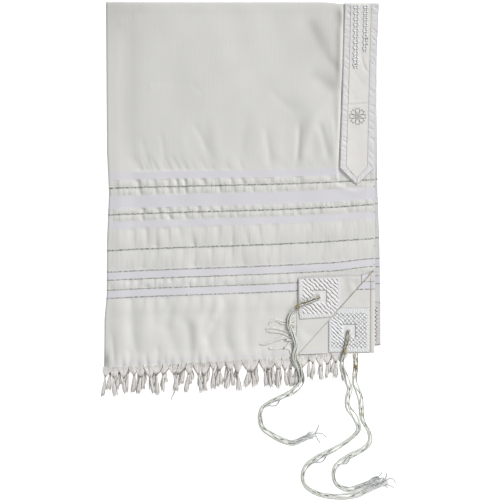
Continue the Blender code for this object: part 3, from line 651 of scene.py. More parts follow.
# %% Creases of the top quarter
CREASES = (                  # x and y of one end, of the other, half width, height; all in mm
    (-287, 425, -285, 240, 22, -0.7), (-285, 240, -285, 84, 22, -0.6),
    (171, 444, 203, 364, 13, -0.9), (205, 362, 243, 318, 9, -0.9), (171, 316, 231, 266, 14, -1.1),
    (236, 470, 236, 428, 10, -0.6), (71, 268, 127, 220, 9, -0.5), (128, 250, 196, 250, 22, 0.8),
    (227, 262, 170, 196, 13, 1.6), (168, 190, 150, 94, 12, 1.6), (141, 184, 135, 90, 6, -1.5),
    (190, 186, 211, 104, 8, -1.5), (219, 196, 223, 100, 6, 0.9), (243, 456, 238, 436, 5, -1.2),
    (240, 430, 236, 300, 8, 0.9), (232, 292, 226, 80, 8, 1.1),
    (-249, 488, -313, 436, 2.6, 0.6), (-262, 462, -312, 433, 2.6, 0.5),   # by the far corner
    (-254, 478, -296, 446, 6, -0.8), (-229, 282, -233, 276, 3, 0.6),
    (-216, 291, -125, 284, 5, -0.25), (-125, 284, -102, 262, 5, -0.3),
    (228, 46, 281, 27, 4, -1.5), (281, 27, 324, 42, 4, -1.5), (234, 32, 284, 14, 7, 0.4),
    (284, 14, 322, 28, 7, 0.4),
    (-272, -255, -279, -312, 13, -1.2), (-279, -312, -266, -392, 10.4, -1.2),
    (-243, -262, -250, -350, 15.6, 0.72), (-228, -255, -222, -318, 11.7, -0.72),
    (-180, -262, -196, -318, 14.3, -1.04), (-196, -318, -168, -390, 13, -0.96),
    (-164, -268, -176, -318, 11.7, 0.72), (-141, -306, -131, -396, 11.7, -1.44),
    (-91, -247, -112, -312, 13, 1.28), (-112, -312, -124, -384, 13, 1.28),
    (-44, -256, -71, -312, 9.1, -1.04), (-71, -312, -94, -356, 9.1, -1.12),
    (-91, -345, -80, -394, 10.4, -1.12), (-54, -250, -84, -322, 10.4, 1.28),
    (-84, -322, -98, -372, 9.1, 0.64), (-36, -258, -47, -325, 13, -1.2),
    (-47, -325, -26, -394, 11.7, -1.28), (-12, -262, -14, -372, 15.6, 1.04),
    (12, -325, 12, -388, 10.4, -0.96), (34, -264, 30, -350, 15.6, 0.56),
    (56, -256, 58, -290, 11.7, -0.64),
    (-328, -340, -321, -414, 5.2, -1.28), (-302, -330, -300, -405, 13, 0.56),
    (-215, -372, -208, -404, 6.5, -0.8), (-285, -378, -280, -410, 6.5, -0.72),
    (-60, 420, -72, 250, 34, 0.5), (60, 440, 52, 250, 34, -0.4), (-168, 400, -180, 240, 30, -0.3),
    (-122, 184, -90, 116, 7, -0.7), (-206, 160, -196, 90, 6, -0.5), (-252, 146, -238, 84, 7, -0.5),
    (56, 172, 70, 90, 7, -0.7), (10, 210, -4, 96, 14, -0.7), (-96, 190, -80, 96, 12, -0.5),
    (-72, 180, -54, 90, 13, 0.6), (64, 180, 68, 90, 12, -0.5), (92, 170, 92, 96, 12, 0.5),
    (-150, 160, -136, 90, 12, 0.4),
)
PUCKERS = (                  # cut: from and to, along; lean; depth; their x in mm
    (0.372, 0.4270, 0.40, 0.75, (-272, -262, -250, -238, -226, -206, -192, -172, -150, -132, -104,
                                 -84, -44, -8, 34, 62, 98, 121, 160, 188)),
    (0.4485, 0.4680, 0.05, 1.9, (-261, -222, -186, -164, -144, -97, -66, -28, 0, 30, 70, 104, 141,
                                 190, 220)),
    (0.4690, 0.4880, 0.05, 1.6, (-258, -218, -183, -163, -144, -106, -57, -23, 24, 58, 85, 140, 200)),
    (0.5205, 0.5340, -0.10, 2.0, (-249, -211, -184, -165, -141, -109, -82, -56, -22, 19, 48, 98, 134,
                                  177, 228, 269)),
    (0.5350, 0.5520, 0.05, 1.7, (-251, -208, -183, -143, -105, -61, -15, 51, 99, 137, 195, 262)),
    (0.5705, 0.6230, 0.08, 1.3, (-274, -240, -216, -187, -156, -126, -94, -62, -26, 10, 41, 81,
                                 112, 142, 172, 202, 230, 252, 285)),
    (0.6250, 0.6740, -0.05, 1.2, (-250, -220, -180, -150, -120, -78, -50, -28, 2, 33, 62, 88,
                                  117, 160, 202, 235, 255, 290)),
    (0.6985, 0.7235, -0.06, 1.4, (-282, -262, -240, -222, -200, -178, -157, -133, -114, -92, -72,
                                  -48, -25, -2, 20, 44, 66, 90, 116, 140, 165, 192, 220, 246, 275)),
    (0.7460, 0.7900, -0.10, 0.7, (-280, -251, -222, -196, -170, -139, -108, -80, -52, -24, 6, 34,
                                  62, 92, 120)),
    (0.8800, 0.9150, 0.05, 1.1, (-300, -283, -262, -240, -214, -196, -178, -157, -130, -110, -92,
                                 -66, -45, -24, 0, 22, 47, 72, 98, 119)),
)


# %% From those lists to heights
def crease_heights(x, y, rows):
    """The height that creases add: each is bowed a little, and fades out past its ends."""
    total = np.zeros_like(x)
    for i, (x1, y1, x2, y2, half_width, height) in enumerate(np.array(rows, float) * 0.001):
        run = np.array((x2 - x1, y2 - y1))
        length = math.hypot(*run)
        share = ((x - x1) * run[0] + (y - y1) * run[1]) / length ** 2
        away = ((y - y1) * run[0] - (x - x1) * run[1]) / length
        away = away + 0.05 * length * math.sin(12.9 * i) * (4 * share * (1 - share)).clip(-1, 1)
        fade = half_width / length
        near_end = soft((share + 0.10 + fade) / (0.30 + fade))
        ends = near_end * soft((1.10 + fade - share) / (0.30 + fade))
        total += height * ends * np.exp(-(away / (half_width * (1.45 - 0.35 * ends))) ** 2)
    return total


def pucker_heights(x, along, rows, seed):
    """Puckers between woven bands: each springs from one band and dies out towards the other."""
    chance = random.Random(seed)
    total = np.zeros_like(x)
    for low, high, lean, depth, places in rows:
        middle, half = (low + high) / 2, (high - low) / 2
        fade = 0.003 if low > 0.4 else 0.030
        near_band = soft((high - along) / 0.003) * soft((along - low) / fade)
        if low > 0.4:
            total += 0.0009 * near_band * (1 - ((along - middle) / half) ** 2).clip(0)
        for place in places:
            strength = depth * chance.uniform(0.4, 1.3) * 0.001
            strength *= 1.20 - 0.70 * float(soft((place + 150) / 260))
            half_width = chance.uniform(0.0036, 0.0062) * (1 + 0.5 * (half > 0.02))
            slant = lean + chance.uniform(-0.12, 0.12)
            from_low = 0.4 < low < 0.5 or chance.random() < 0.5
            if low < 0.4 or low > 0.8:               # a band lies on the farther side only
                from_low = False
            elif low > 0.74:                         # on the nearer side only
                from_low = True
            gone = along - low if from_low else high - along
            reach = 2 * half * (chance.uniform(0.45, 1.15) if half > 0.012 else 2.5)
            window = near_band * np.exp(-1.6 * (gone / reach) ** 2)
            away = (x - place * 0.001 - slant * (along - middle)) / half_width
            away = away / np.where(away > 0, 0.85, 1.7)      # steeper on its neck side
            total -= strength * window * np.exp(-away * away)
    return total


# %% The plan and height of the top quarter
def fold_line_y(x):
    """Where the crosswise fold starts to turn; it drops a little at the neckband."""
    return FOLD_Y - TURN_SET_IN - 0.005 * soft((x - 0.20) / 0.06)


def crest_x(down):
    """Where the rolled fold starts to turn."""
    return FOLD_X + read(ROLL_OUTLINE, down) + ROLL_RADIUS + WALL / 2


def neck_x(down):
    """Where the neck edge is."""
    return NECK_EDGE_X + read(NECK_OUTLINE, down)


def bow(across, along):
    """How far a weft line lies above its straight course, where the cloth was tugged."""
    tilt = 0.0042 - 0.0072 * soft(across / 0.76) + 0.0050 * soft((across - 0.81) / 0.09)
    at_neck = read(NECK_RISE, along) * soft((across - 0.84) / 0.15)
    return (tilt + at_neck) * soft((along - 0.30) / 0.10) * (1 - soft((along - 0.77) / 0.11))


def plan(across, along):
    """Where a point of the top quarter lies on the table, its corner not yet turned."""
    corner = CORNER_DRAWN_UP * soft((across - 0.72) / 0.28) * soft((along - 0.74) / 0.18)
    down = along - read(DRAWN_UP, along) * across - corner - bow(across, along)
    left, right = crest_x(down), neck_x(down)
    x = left + (right - left) * across
    return x, fold_line_y(x) - down


# %% Its height, and where the neckband holds it
def spot(x, y, middle_x, middle_y, half_width, half_length, turn):
    """1 at a long soft spot's middle and 0 far from it; turn is in degrees."""
    angle = math.radians(turn)
    side = ((x - middle_x) * math.cos(angle) - (y - middle_y) * math.sin(angle)) / half_width
    end = ((x - middle_x) * math.sin(angle) + (y - middle_y) * math.cos(angle)) / half_length
    return np.exp(-side * side - end * end)


def top_height(x, y):
    """Height of the middle of the top quarter's cloth, without its creases."""
    roll = 2 * ROLL_RADIUS + ROLL_FOOT - LEVEL_1
    at_roll = 1.0 - soft((x - crest_x(FOLD_Y - y)) / ROLL_SHOULDER)
    at_turn = 1.0 - soft((fold_line_y(x) - y) / TURN_SHOULDER)
    height = LEVEL_1 + roll * at_roll + TURN_RISE * at_turn * (1.0 - at_roll)
    for *place, rise in SWELLS:
        height = height + rise * spot(x, y, *place) * (1.0 - at_roll) * (1.0 - at_turn)
    return height


def band_edge(y):
    """The neckband's left edge."""
    return np.interp(y, (0.03, 0.078, 0.290, 0.49), (0.2405, 0.2405, 0.2480, 0.2530))


def under_band(x, y):
    """1 where the neckband holds the cloth flat, 0 clear of it."""
    return (soft((x - band_edge(y) + 0.0050) / 0.0050) * soft((y - 0.030) / 0.010)).clip(0, 1)


# %% The turned corner
def beyond_diagonal(x, y):
    """How far a point lies past the line that the corner is turned back on."""
    return (x - DIAGONAL_THROUGH[0]) * DIAGONAL_OUT[0] + (y - DIAGONAL_THROUGH[1]) * DIAGONAL_OUT[1]


def turned(x, y):
    """Where a point lies once the corner is turned back, and how far that lifts it."""
    beyond = beyond_diagonal(x, y)
    half_turn = math.pi * DIAGONAL_RADIUS
    angle = np.clip(beyond / DIAGONAL_RADIUS, 0, math.pi)
    out = np.where(beyond < 0, beyond, DIAGONAL_RADIUS * np.sin(angle))
    out = np.where(beyond > half_turn, half_turn - beyond, out)
    rise = DIAGONAL_RADIUS * (1 - np.cos(angle))
    return (x + DIAGONAL_OUT[0] * (out - beyond), y + DIAGONAL_OUT[1] * (out - beyond), rise)


def lifted_end(x, y):
    """How far the turned corner's woven end lifts off the cloth; lower down it lies close."""
    upper = soft((y + 0.270) / 0.04)
    return (0.0011 * upper - 0.0008 * (1 - upper)) * (1 - soft((x - 0.1330) / 0.02))


# %% Reading and writing a mesh's points and its cut
def points_of(item):
    """Each vertex's place."""
    places = np.empty(len(item.data.vertices) * 3)
    item.data.vertices.foreach_get("co", places)
    return places.reshape(-1, 3)


def set_points(item, x, y, z):
    """Move every vertex to its own place."""
    item.data.vertices.foreach_set("co", np.stack([x, y, z], axis=1).astype(np.float32).ravel())
    item.data.update()


def corner_vertices(item):
    """The vertex that each face corner belongs to."""
    corners = np.empty(len(item.data.loops), int)
    item.data.loops.foreach_get("vertex_index", corners)
    return corners


def cut_of(item):
    """Each vertex's place on the cut: metres across and along."""
    laid = np.empty(len(item.data.loops) * 2)
    item.data.uv_layers["cut"].data.foreach_get("uv", laid)
    cut = np.zeros((len(item.data.vertices), 2))
    cut[corner_vertices(item)] = laid.reshape(-1, 2)
    return cut[:, 0], cut[:, 1]


def set_cut(item, across, along):
    """Write each vertex's place on the cut into the UV map."""
    laid = np.stack([across, along], axis=1)[corner_vertices(item)]
    item.data.uv_layers["cut"].data.foreach_set("uv", laid.astype(np.float32).ravel())


def mark_points(item, name, values):
    """A number for each vertex, which a material can read by its name."""
    mark = item.data.attributes.new(name, "FLOAT", "POINT")
    mark.data.foreach_set("value", values.astype(np.float32))


# %% Grids for cloth, their walls and folds
def cloth_grid(name, across, along):
    """A grid primitive with its lines at the given places, and the cut as its UV map."""
    bpy.ops.object.select_all(action="DESELECT")
    bpy.ops.mesh.primitive_grid_add(
        x_subdivisions=len(across) - 1, y_subdivisions=len(along) - 1, size=1)
    item = bpy.context.object
    item.name = item.data.name = name
    places = points_of(item)
    column = np.rint((places[:, 0] + 0.5) * (len(across) - 1)).astype(int)
    row = np.rint((places[:, 1] + 0.5) * (len(along) - 1)).astype(int)
    item.data.uv_layers[0].name = "cut"
    set_cut(item, np.array(across)[column], np.array(along)[row])
    return item


def add_wall(item, thickness):
    """Turn the sheet's faces to the sky, then Solidify it, half to each side."""
    if sum(face.normal.z * face.area for face in item.data.polygons) < 0:
        item.data.flip_normals()
    select_only(item)
    wall = item.modifiers.new("wall", "SOLIDIFY")
    wall.thickness = thickness
    wall.offset = 0.0
    wall.use_even_offset = False
    bpy.ops.object.modifier_apply(modifier=wall.name)
    item.data.set_sharp_from_angle(angle=math.radians(60))


def curled(x, y, z, past_left, past_far, left_bottom, far_bottom):
    """Cloth past its crest goes round a fold and comes back beneath."""
    past = np.hypot(past_left, past_far)
    toward = np.arctan2(past_far, past_left)
    share = toward / (math.pi / 2)
    bottom = left_bottom + (far_bottom - left_bottom) * share
    radius = (z - bottom) / 2
    angle = np.clip(past / radius, 0, math.pi)
    out = radius * np.sin(angle) - (past - math.pi * radius).clip(0)
    height = z - radius * (1 - np.cos(angle))
    going = past > 0
    return (np.where(going, x - np.cos(toward) * out, x),
            np.where(going, y + np.sin(toward) * out, y), np.where(going, height, z))


# %% How the top quarter lies: waves, a bulge, and all its relief
LOOSE_WAVES = [(random.Random(k).uniform(8, 42), random.Random(k + 50).uniform(4, 22),
                random.Random(k + 90).uniform(0, 6.3)) for k in range(9)]
CREASE_GAIN = 1.5            # creases and puckers are drawn half as deep again as listed
LOWEST = -0.0013             # no trough goes deeper than this


def loose_waves(x, y):
    """The slight unevenness of cloth that was shaken out and laid down."""
    return sum(0.00016 * np.sin(a * x * 1.6 + b * y + c) for a, b, c in LOOSE_WAVES)


def bulge(x, y):
    """The loose cloth's rise between the rolled fold, the crosswise fold and the bands."""
    off_roll = 1 - np.exp(-((x + 0.300).clip(0) / 0.085) ** 1.3)
    off_turn = 1 - np.exp(-((0.487 - y).clip(0) / 0.130) ** 1.4)
    upper = off_roll * off_turn * (1 - 0.5 * soft((x - 0.02) / 0.20))
    upper = upper * (1 - 0.75 * soft((0.22 - y) / 0.17))
    lower = off_roll * soft((0.12 - x) / 0.10) * soft((0.10 - y) / 0.10)
    return 0.0046 * upper * soft((y + 0.03) / 0.08) + 0.0012 * lower


def top_relief(x, y, along):
    """Everything that creases, puckers and loose lying add to the top quarter."""
    under_corner = soft((x - 0.116) / 0.014) * soft((-0.174 - y) / 0.012)
    held = (1 - under_band(x, y)) * (1 - under_corner)
    past_crest = x - crest_x(FOLD_Y - y)
    free = soft(past_crest / 0.03) * soft((fold_line_y(x) - y) / 0.02)
    creases = CREASE_GAIN * crease_heights(x, y, CREASES)
    puckers = CREASE_GAIN * pucker_heights(x, along, PUCKERS, 5)
    close = np.exp(-((x - band_edge(y) + 0.006) / 0.008) ** 2) * soft((y - 0.030) / 0.020)
    relief = creases + puckers + close * (0.0008 + 0.0018 * soft((y - 0.27) / 0.05))
    relief = (0.0012 + relief + loose_waves(x, y) + bulge(x, y)) * held * free
    return np.maximum(relief, LOWEST) - 0.0031 * (1 - soft(past_crest / 0.052))


# %% The top quarter's grid
# Its lines are closest over the bands.  Those before 0 go round the folds.
WIDTH = NECK_EDGE_X - FOLD_X - ROLL_RADIUS      # from the roll's crest to the neck edge
columns = np.concatenate([np.linspace(-0.0262, 0, 11)[:-1], np.linspace(0, WIDTH, 222)])
rows = np.concatenate([
    np.linspace(-0.0200, 0, 15)[:-1], np.linspace(0, 0.36, 54)[:-1],
    np.linspace(0.36, 0.76, 101)[:-1], np.linspace(0.76, HALF_LENGTH, 28)])
top = cloth_grid("cloth_top_quarter", columns, rows)
across, along = cut_of(top)
x, y = plan(across.clip(0) / WIDTH, along.clip(0))
set_points(top, x + across.clip(None, 0), y - along.clip(None, 0), np.zeros_like(x))

# The corner turns in less than 3 mm, so lines are cut in there, each a quarter of its bend on.
bpy.ops.object.mode_set(mode="EDIT")
for step in (0, 1, 2, 3, 4, 5, 7):
    bpy.ops.mesh.select_all(action="SELECT")
    past = DIAGONAL_THROUGH + DIAGONAL_OUT * math.pi * DIAGONAL_RADIUS * step / 4
    bpy.ops.mesh.bisect(plane_co=(*past, 0), plane_no=(*DIAGONAL_OUT, 0), threshold=0.00002)
bpy.ops.object.mode_set(mode="OBJECT")
print("top grid", len(top.data.vertices), "points")

# %% Its places on the table, with the corner turned back
across, along = cut_of(top)
flat = points_of(top)
x, y = flat[:, 0] - across.clip(None, 0), flat[:, 1] + along.clip(None, 0)
laid_x, laid_y, rise = turned(x, y)
is_turned = beyond_diagonal(x, y) > 0
# The turned corner lifts a little along its woven end and lies in soft dents.
CORNER_DENTS = (             # as the creases, in mm
    (254, -200, 258, -218, 8, -1.2), (276, -206, 284, -226, 7, -1.4), (262, -198, 300, -200, 5, 0.7),
    (150, -330, 190, -352, 9, -0.8), (140, -318, 150, -360, 8, 0.7),
)
corner_relief = lifted_end(laid_x, laid_y) + crease_heights(laid_x, laid_y, CORNER_DENTS)
relief = np.where(is_turned, corner_relief * soft(rise / 0.0018), top_relief(x, y, along))
print("relief from", round(float(relief.min()), 4), "to", round(float(relief.max()), 4))

# %% Painted shade along its folds, creases and edges
# Soft spots of painted shade, where shade falls in creases, by the roll and at corners.
PAINTED_SHADE_SPOTS = (              # x, y, half width, half length, turn in degrees, strength
    (0.237, 0.450, 0.012, 0.024, 0, 0.24), (0.190, 0.402, 0.018, 0.045, -24, 0.20),
    (0.226, 0.335, 0.012, 0.034, -40, 0.17), (0.220, 0.285, 0.022, 0.034, -35, 0.18),
    (0.172, 0.432, 0.012, 0.020, -20, 0.12), (0.176, 0.304, 0.014, 0.012, 0, 0.10),
    (0.205, 0.390, 0.050, 0.090, -20, 0.07),
    (-0.320, 0.480, 0.090, 0.090, 0, 0.16), (-0.288, 0.260, 0.020, 0.150, 0, 0.10),
    (-0.318, -0.330, 0.016, 0.090, 0, 0.10), (0.2665, -0.229, 0.009, 0.028, -25, 0.17),
    (-0.340, -0.405, 0.006, 0.022, 0, 0.55),
)
stain_and_painted_shade = sum(strength * spot(laid_x, laid_y, *place) for *place, strength in PAINTED_SHADE_SPOTS)
# Painted shade: a dark line along the diagonal fold, stronger towards the neck side.
past_fold = beyond_diagonal(x, y)
on_fold = soft((past_fold - 0.0005) / 0.0005) * soft((0.0048 - past_fold) / 0.0015)
stain_and_painted_shade += on_fold * (0.40 + 0.30 * soft((laid_x - 0.215) / 0.03))
# Painted shade on the side of the rolled fold, and along the turned corner's upper edge.
stain_and_painted_shade += 0.45 * soft((-across - 0.004) / 0.005)
stain_and_painted_shade += 0.30 * is_turned * soft((across - WIDTH + 0.003) / 0.003)
mark_points(top, "stain_and_painted_shade", stain_and_painted_shade)

# %% The top quarter finished
# Near the neck edge it settles on the cloth beneath, and its hem stands a little proud.
settled = 0.0008 * soft((across - WIDTH + 0.022) / 0.022) * (1 - is_turned)
hem = 0.0001 * soft((across - WIDTH + 0.0062) / 0.0015) * (1 - is_turned)
z = top_height(laid_x, laid_y) + rise + relief - settled + hem
x, y, z = curled(laid_x, laid_y, z, (-across).clip(0), (-along).clip(0), ROLL_FOOT, LEVEL_2)
set_points(top, x, y, z)
add_wall(top, CLOTH)
finish(top, worsted, "wool_cloth", "shawl_front_layer")

# %% [markdown]
# ## The three quarters beneath
# They show at the open edges, under the turned corner and from below.  Each is a sheet of its
# own, coarser than the top one, and goes round its fold to the next.  Their stripes are drawn
# up by different amounts, so they don't meet the top quarter's at the edges.


# %% Laying the quarters beneath
def quarter_beneath(name, level, take, drawn, left_in, edge_x, outline, far_in,
                    neck_rise, left_bottom=None, far_bottom=None, surface=worsted, end_in=0.0,
                    dents=()):
    """One hidden quarter; take is the length that its folds use up, end_in what its end lacks."""
    past = np.linspace(-0.0100, 0, 9)[:-1]
    columns = np.linspace(0, WIDTH, 86)
    rows = np.linspace(0, HALF_LENGTH - end_in, 126)
    if left_bottom is not None:
        columns = np.concatenate([past, columns])
    if far_bottom is not None:
        rows = np.concatenate([past, rows])
    item = cloth_grid(name, columns, rows)
    across, along = cut_of(item)
    share, length = across.clip(0) / WIDTH, along.clip(0)
    down = length - take * length / HALF_LENGTH - read(drawn, length) * share
    down = down - read(neck_rise, length) * soft((share - 0.75) / 0.20)
    left = FOLD_X + read(ROLL_OUTLINE, down) + left_in
    x = left + (edge_x + read(outline, down) - left) * share
    y = fold_line_y(x) + TURN_SET_IN - far_in - down
    hem = 0.0003 * soft((share - 1 + 0.0090) / 0.002)
    z = level + crease_heights(x, y, dents) + hem
    z = np.maximum(z, CLOTH / 2)
    x, y, z = curled(x, y, z, (-across).clip(0), (-along).clip(0),
                     left_bottom or 0, far_bottom or 0)
    set_points(item, x, y, z)
    add_wall(item, CLOTH)
    return finish(item, surface, "wool_cloth", "shawl_hidden_layers")


# %% The three of them
SECOND_DENTS = (             # as the creases, in mm
    (285, -252, 305, -268, 6, -0.5), (255, -300, 262, -330, 7, -0.4), (180, -330, 150, -372, 9, 0.5),
)
second = quarter_beneath(
    "cloth_second_quarter", LEVEL_2, 0.008, SECOND_DRAWN_UP, 0.0100, SECOND_EDGE_X,
    NECK_OUTLINE[:4], 0.0040, SECOND_NECK_RISE, left_bottom=LEVEL_3, end_in=0.004,
    dents=SECOND_DENTS)
third = quarter_beneath(
    "cloth_third_quarter", LEVEL_3, 0.008, THIRD_DRAWN_UP, 0.0100, THIRD_EDGE_X,
    THIRD_OUTLINE, 0.0040, THIRD_NECK_RISE, far_bottom=LEVEL_4, surface=worsted_beneath)
fourth = quarter_beneath(
    "cloth_fourth_quarter", LEVEL_4, 0.010, THIRD_DRAWN_UP, 0.0135, THIRD_EDGE_X - 0.0035,
    THIRD_OUTLINE, 0.0040, THIRD_NECK_RISE, surface=worsted_beneath, end_in=0.004)

# %% [markdown]
# ## The neckband
# A stiff band down the neck edge: a cotton lining, a cream twill panel, and satin ribbon on
# both sides that meets in a point.  Each is a narrow cloth grid between two edges, laid over
# the top quarter and over the crosswise fold.  Its left edge has sprung up from the cloth.
# The ribbon was sewn on under tension, so it is crossed by small slanting puckers.


# %% Strips between two edges
def strip_points(rows, share, along):
    """Points of a strip whose rows give both its edges: x, y of one, x, y of the other."""
    rows = np.array(rows, float)
    middle = (rows[:, :2] + rows[:, 2:]) / 2
    run = lengths_along(middle)
    one_x, one_y, other_x, other_y = [np.interp(along, run, rows[:, k]) for k in range(4)]
    return one_x + (other_x - one_x) * share, one_y + (other_y - one_y) * share, run


def spaced_rows(rows, spacing):
    """Places along a strip, with one at each of its rows."""
    run = strip_points(rows, 0, np.zeros(1))[2]
    parts = [np.linspace(a, b, max(2, round((b - a) / spacing)) + 1)[:-1]
             for a, b in zip(run, run[1:])]
    return np.concatenate([*parts, run[-1:]])


OVER_FOLD = 2.0              # radians that the band goes round the crosswise fold
RADIAN_OF_BAND = 0.0022      # metres of its UV map to each


def band_rise(x, y):
    """How far the neckband's left edge has sprung up."""
    window = soft((y - 0.028) / 0.030) * (1 - soft((y - 0.24) / 0.08))
    return 0.0012 * (1 - soft((x - band_edge(y)) / 0.034)) * window


def sewn_strip(name, rows, lift, thickness, count, spacing, ripple, width):
    """A strip of the neckband; ripple gives its own small height at x, y, share, along."""
    over = np.linspace(-OVER_FOLD, 0, 9)[:-1] * RADIAN_OF_BAND
    item = cloth_grid(name, np.linspace(0, width, count + 1),
                      np.concatenate([over, spaced_rows(rows, spacing)]))
    across, along = cut_of(item)
    share = across / width
    x, y, _ = strip_points(rows, share, along.clip(0))
    lift = lift + thickness / 2 + ripple(x, y, share, along)
    z = top_height(x, y)
    radius = (z - LEVEL_2) / 2
    angle = (-along).clip(0) / RADIAN_OF_BAND
    z = z - radius + (radius + lift) * np.cos(angle) + band_rise(x, y)
    set_points(item, x, y + (radius + lift) * np.sin(angle), z)
    add_wall(item, thickness)
    return item


# %% Materials of the neckband
def woven(name, colour, pitch, lean, roughness, depth, **sockets):
    """A plain woven cloth: fine diagonal or straight threads and a slight drift of tone."""
    made, tree, shader = new_material(name, colour, **sockets)
    cut = add_node(tree, "UVMap", {}, uv_map="cut")
    across = add_node(tree, "SeparateXYZ", {0: cut})
    along = across.node.outputs["Y"]
    way = add_node(tree, "Math", {0: along, 1: lean, 2: across}, operation="MULTIPLY_ADD")
    way = add_node(tree, "Math", {0: way, 1: 2 * math.pi / pitch}, operation="MULTIPLY")
    threads = add_node(tree, "Math", {0: way}, operation="SINE")
    drift = add_node(tree, "TexNoise", {"Vector": cut, "Scale": 40.0, "Detail": 4.0})
    share = add_node(tree, "MapRange", {"Value": drift, "From Min": 0.35, "From Max": 0.65})
    base = add_node(tree, "Mix", {
        "Factor": share, "A": darker(colour, 0.985), "B": darker(colour, 1.01)},
        data_type="RGBA")
    tree.links.new(base, shader.inputs["Base Color"])
    rough = add_node(tree, "MapRange", {
        "Value": drift, "To Min": roughness - 0.05, "To Max": roughness + 0.05})
    tree.links.new(rough, shader.inputs["Roughness"])
    relief = add_node(tree, "Math", {0: drift, 1: 0.6, 2: threads}, operation="MULTIPLY_ADD")
    bump = add_node(tree, "Bump", {"Height": relief, "Distance": depth, "Strength": 1.0})
    tree.links.new(bump, shader.inputs["Normal"])
    return made


# %% Satin, twill and lining
# Satin has a broad soft gloss; twill and cotton are matt.  Thread spacings are 0.4 mm in the
# real cloths and are drawn several times as coarse, so that they show.
ribbon_satin = woven("polyester_satin", "#EAE7E8", 0.0026, 0.0, 0.38, 0.00003,
                     Sheen_Weight=0.1, Specular_IOR_Level=0.6)
cream_twill = woven("cream_twill", "#EFECE5", 0.0022, 0.8, 0.75, 0.00004, Sheen_Weight=0.1)
lining_cotton = woven("cotton_lining", "#DDDCD3", 0.0020, 0.0, 0.85, 0.00004)

# %% Neckband strips
LINING, RIBBON = 0.0008, 0.0010          # thickness of the lining, and of panel and ribbons
LINING_LIFT = WALL / 2 + 0.0009
BAND_LIFT = LINING_LIFT + LINING + 0.0006
far = float(fold_line_y(0.30))
LINING_ROWS = ((0.2530, far, 0.3400, far), (0.2480, 0.290, 0.3325, 0.290),
               (0.2405, 0.078, 0.3298, 0.078), (0.2835, 0.0335, 0.2855, 0.0335))
CENTRE_ROWS = ((0.2690, far, 0.3215, far), (0.2643, 0.290, 0.3160, 0.290),
               (0.2575, 0.080, 0.3115, 0.080), (0.2842, 0.0505, 0.2858, 0.0505))
BODY_RIBBON_ROWS = ((0.2550, far, 0.2687, far), (0.2500, 0.290, 0.2640, 0.290),
                    (0.2425, 0.0765, 0.2572, 0.0800), (0.2842, 0.0355, 0.2842, 0.0498))
EDGE_RIBBON_ROWS = ((0.3218, far, 0.3390, far), (0.3163, 0.290, 0.3315, 0.290),
                    (0.3118, 0.0800, 0.3288, 0.0765), (0.2852, 0.0498, 0.2852, 0.0355))
CENTRE_CREASES = (           # as the top quarter's, in mm
    (256, 232, 318, 238, 2.6, -0.9), (256, 238, 318, 244, 3.0, 0.6), (258, 224, 318, 229, 2.6, -0.5),
    (296, 362, 306, 322, 4, -0.7), (302, 356, 313, 318, 3, 0.5), (272, 330, 300, 285, 5, -0.4),
    (266, 360, 272, 338, 4, -0.5), (300, 330, 316, 312, 4, -0.5), (262, 150, 300, 190, 8, 0.4),
)


# %% Puckers of the ribbons and the panel
def puckered_ribbon(gap, lean, depth, seed, width):
    """Slanting puckers across a ribbon, uneven in spacing, slant and depth."""
    chance = random.Random(seed)
    marks, place = [], 0.002
    while place < 0.53:
        marks.append((place, lean * chance.uniform(0.0, 1.6), depth * chance.uniform(0.3, 1.2),
                      chance.uniform(0.0014, 0.0024), chance.uniform(0.25, 0.8)))
        place += gap * chance.uniform(0.40, 1.8)

    def ripple(x, y, share, along):
        total = np.zeros_like(x)
        for place, slant, deep, half_width, where in marks:
            away = (along - place - slant * (share - 0.5) * width) / half_width
            away = away / np.where(away > 0, 2.0, 0.8)
            reach = np.exp(-((share - where) / 0.42) ** 2)
            total -= deep * reach * np.exp(-away * away)
        return total + 0.0003 * np.sin(math.pi * share)
    return ripple


def panel_ripple(x, y, share, along):
    """The panel's creases, which end at its seams."""
    return crease_heights(x, y, CENTRE_CREASES) * soft(share / 0.06) * soft((1 - share) / 0.06)


def still(x, y, share, along):
    """No ripple at all."""
    return np.zeros_like(x)


# %% Lining, panel and ribbons
BAND_STRIPS = (              # name, rows, lift, thickness, columns, row spacing, ripple, width
    (("neckband_backing", LINING_ROWS, LINING_LIFT, LINING, 18, 0.006, still, 0.087),
     lining_cotton, "neckband_lining", "neckband_lining"),
    (("neckband_panel", CENTRE_ROWS, BAND_LIFT, RIBBON, 26, 0.0028, panel_ripple, 0.053),
     cream_twill, "neckband_twill", "neckband_centre"),
    (("neckband_ribbon_left", BODY_RIBBON_ROWS, BAND_LIFT, RIBBON, 9, 0.0013,
      puckered_ribbon(0.0085, 0.50, 0.0010, 4, 0.0135), 0.0135),
     ribbon_satin, "satin_ribbon", "neckband_ribbon_body"),
    (("neckband_ribbon_right", EDGE_RIBBON_ROWS, BAND_LIFT, RIBBON, 10, 0.0013,
      puckered_ribbon(0.0130, 0.85, 0.0012, 9, 0.0155), 0.0155),
     ribbon_satin, "satin_ribbon", "neckband_ribbon_edge"),
)
band_pieces = [finish(sewn_strip(*strip), surface, slot, node)
               for strip, surface, slot, node in BAND_STRIPS]

# %% [markdown]
# ## Stitches and embroidery
# A stitch is a small pad of thread with pointed ends.  One is modelled from a sphere, and its
# copies are joined, so hundreds cost little.  The band carries two rows of silver lozenges and
# leaves and an eight-petalled rosette: plain traditional ornament in silver yarn.


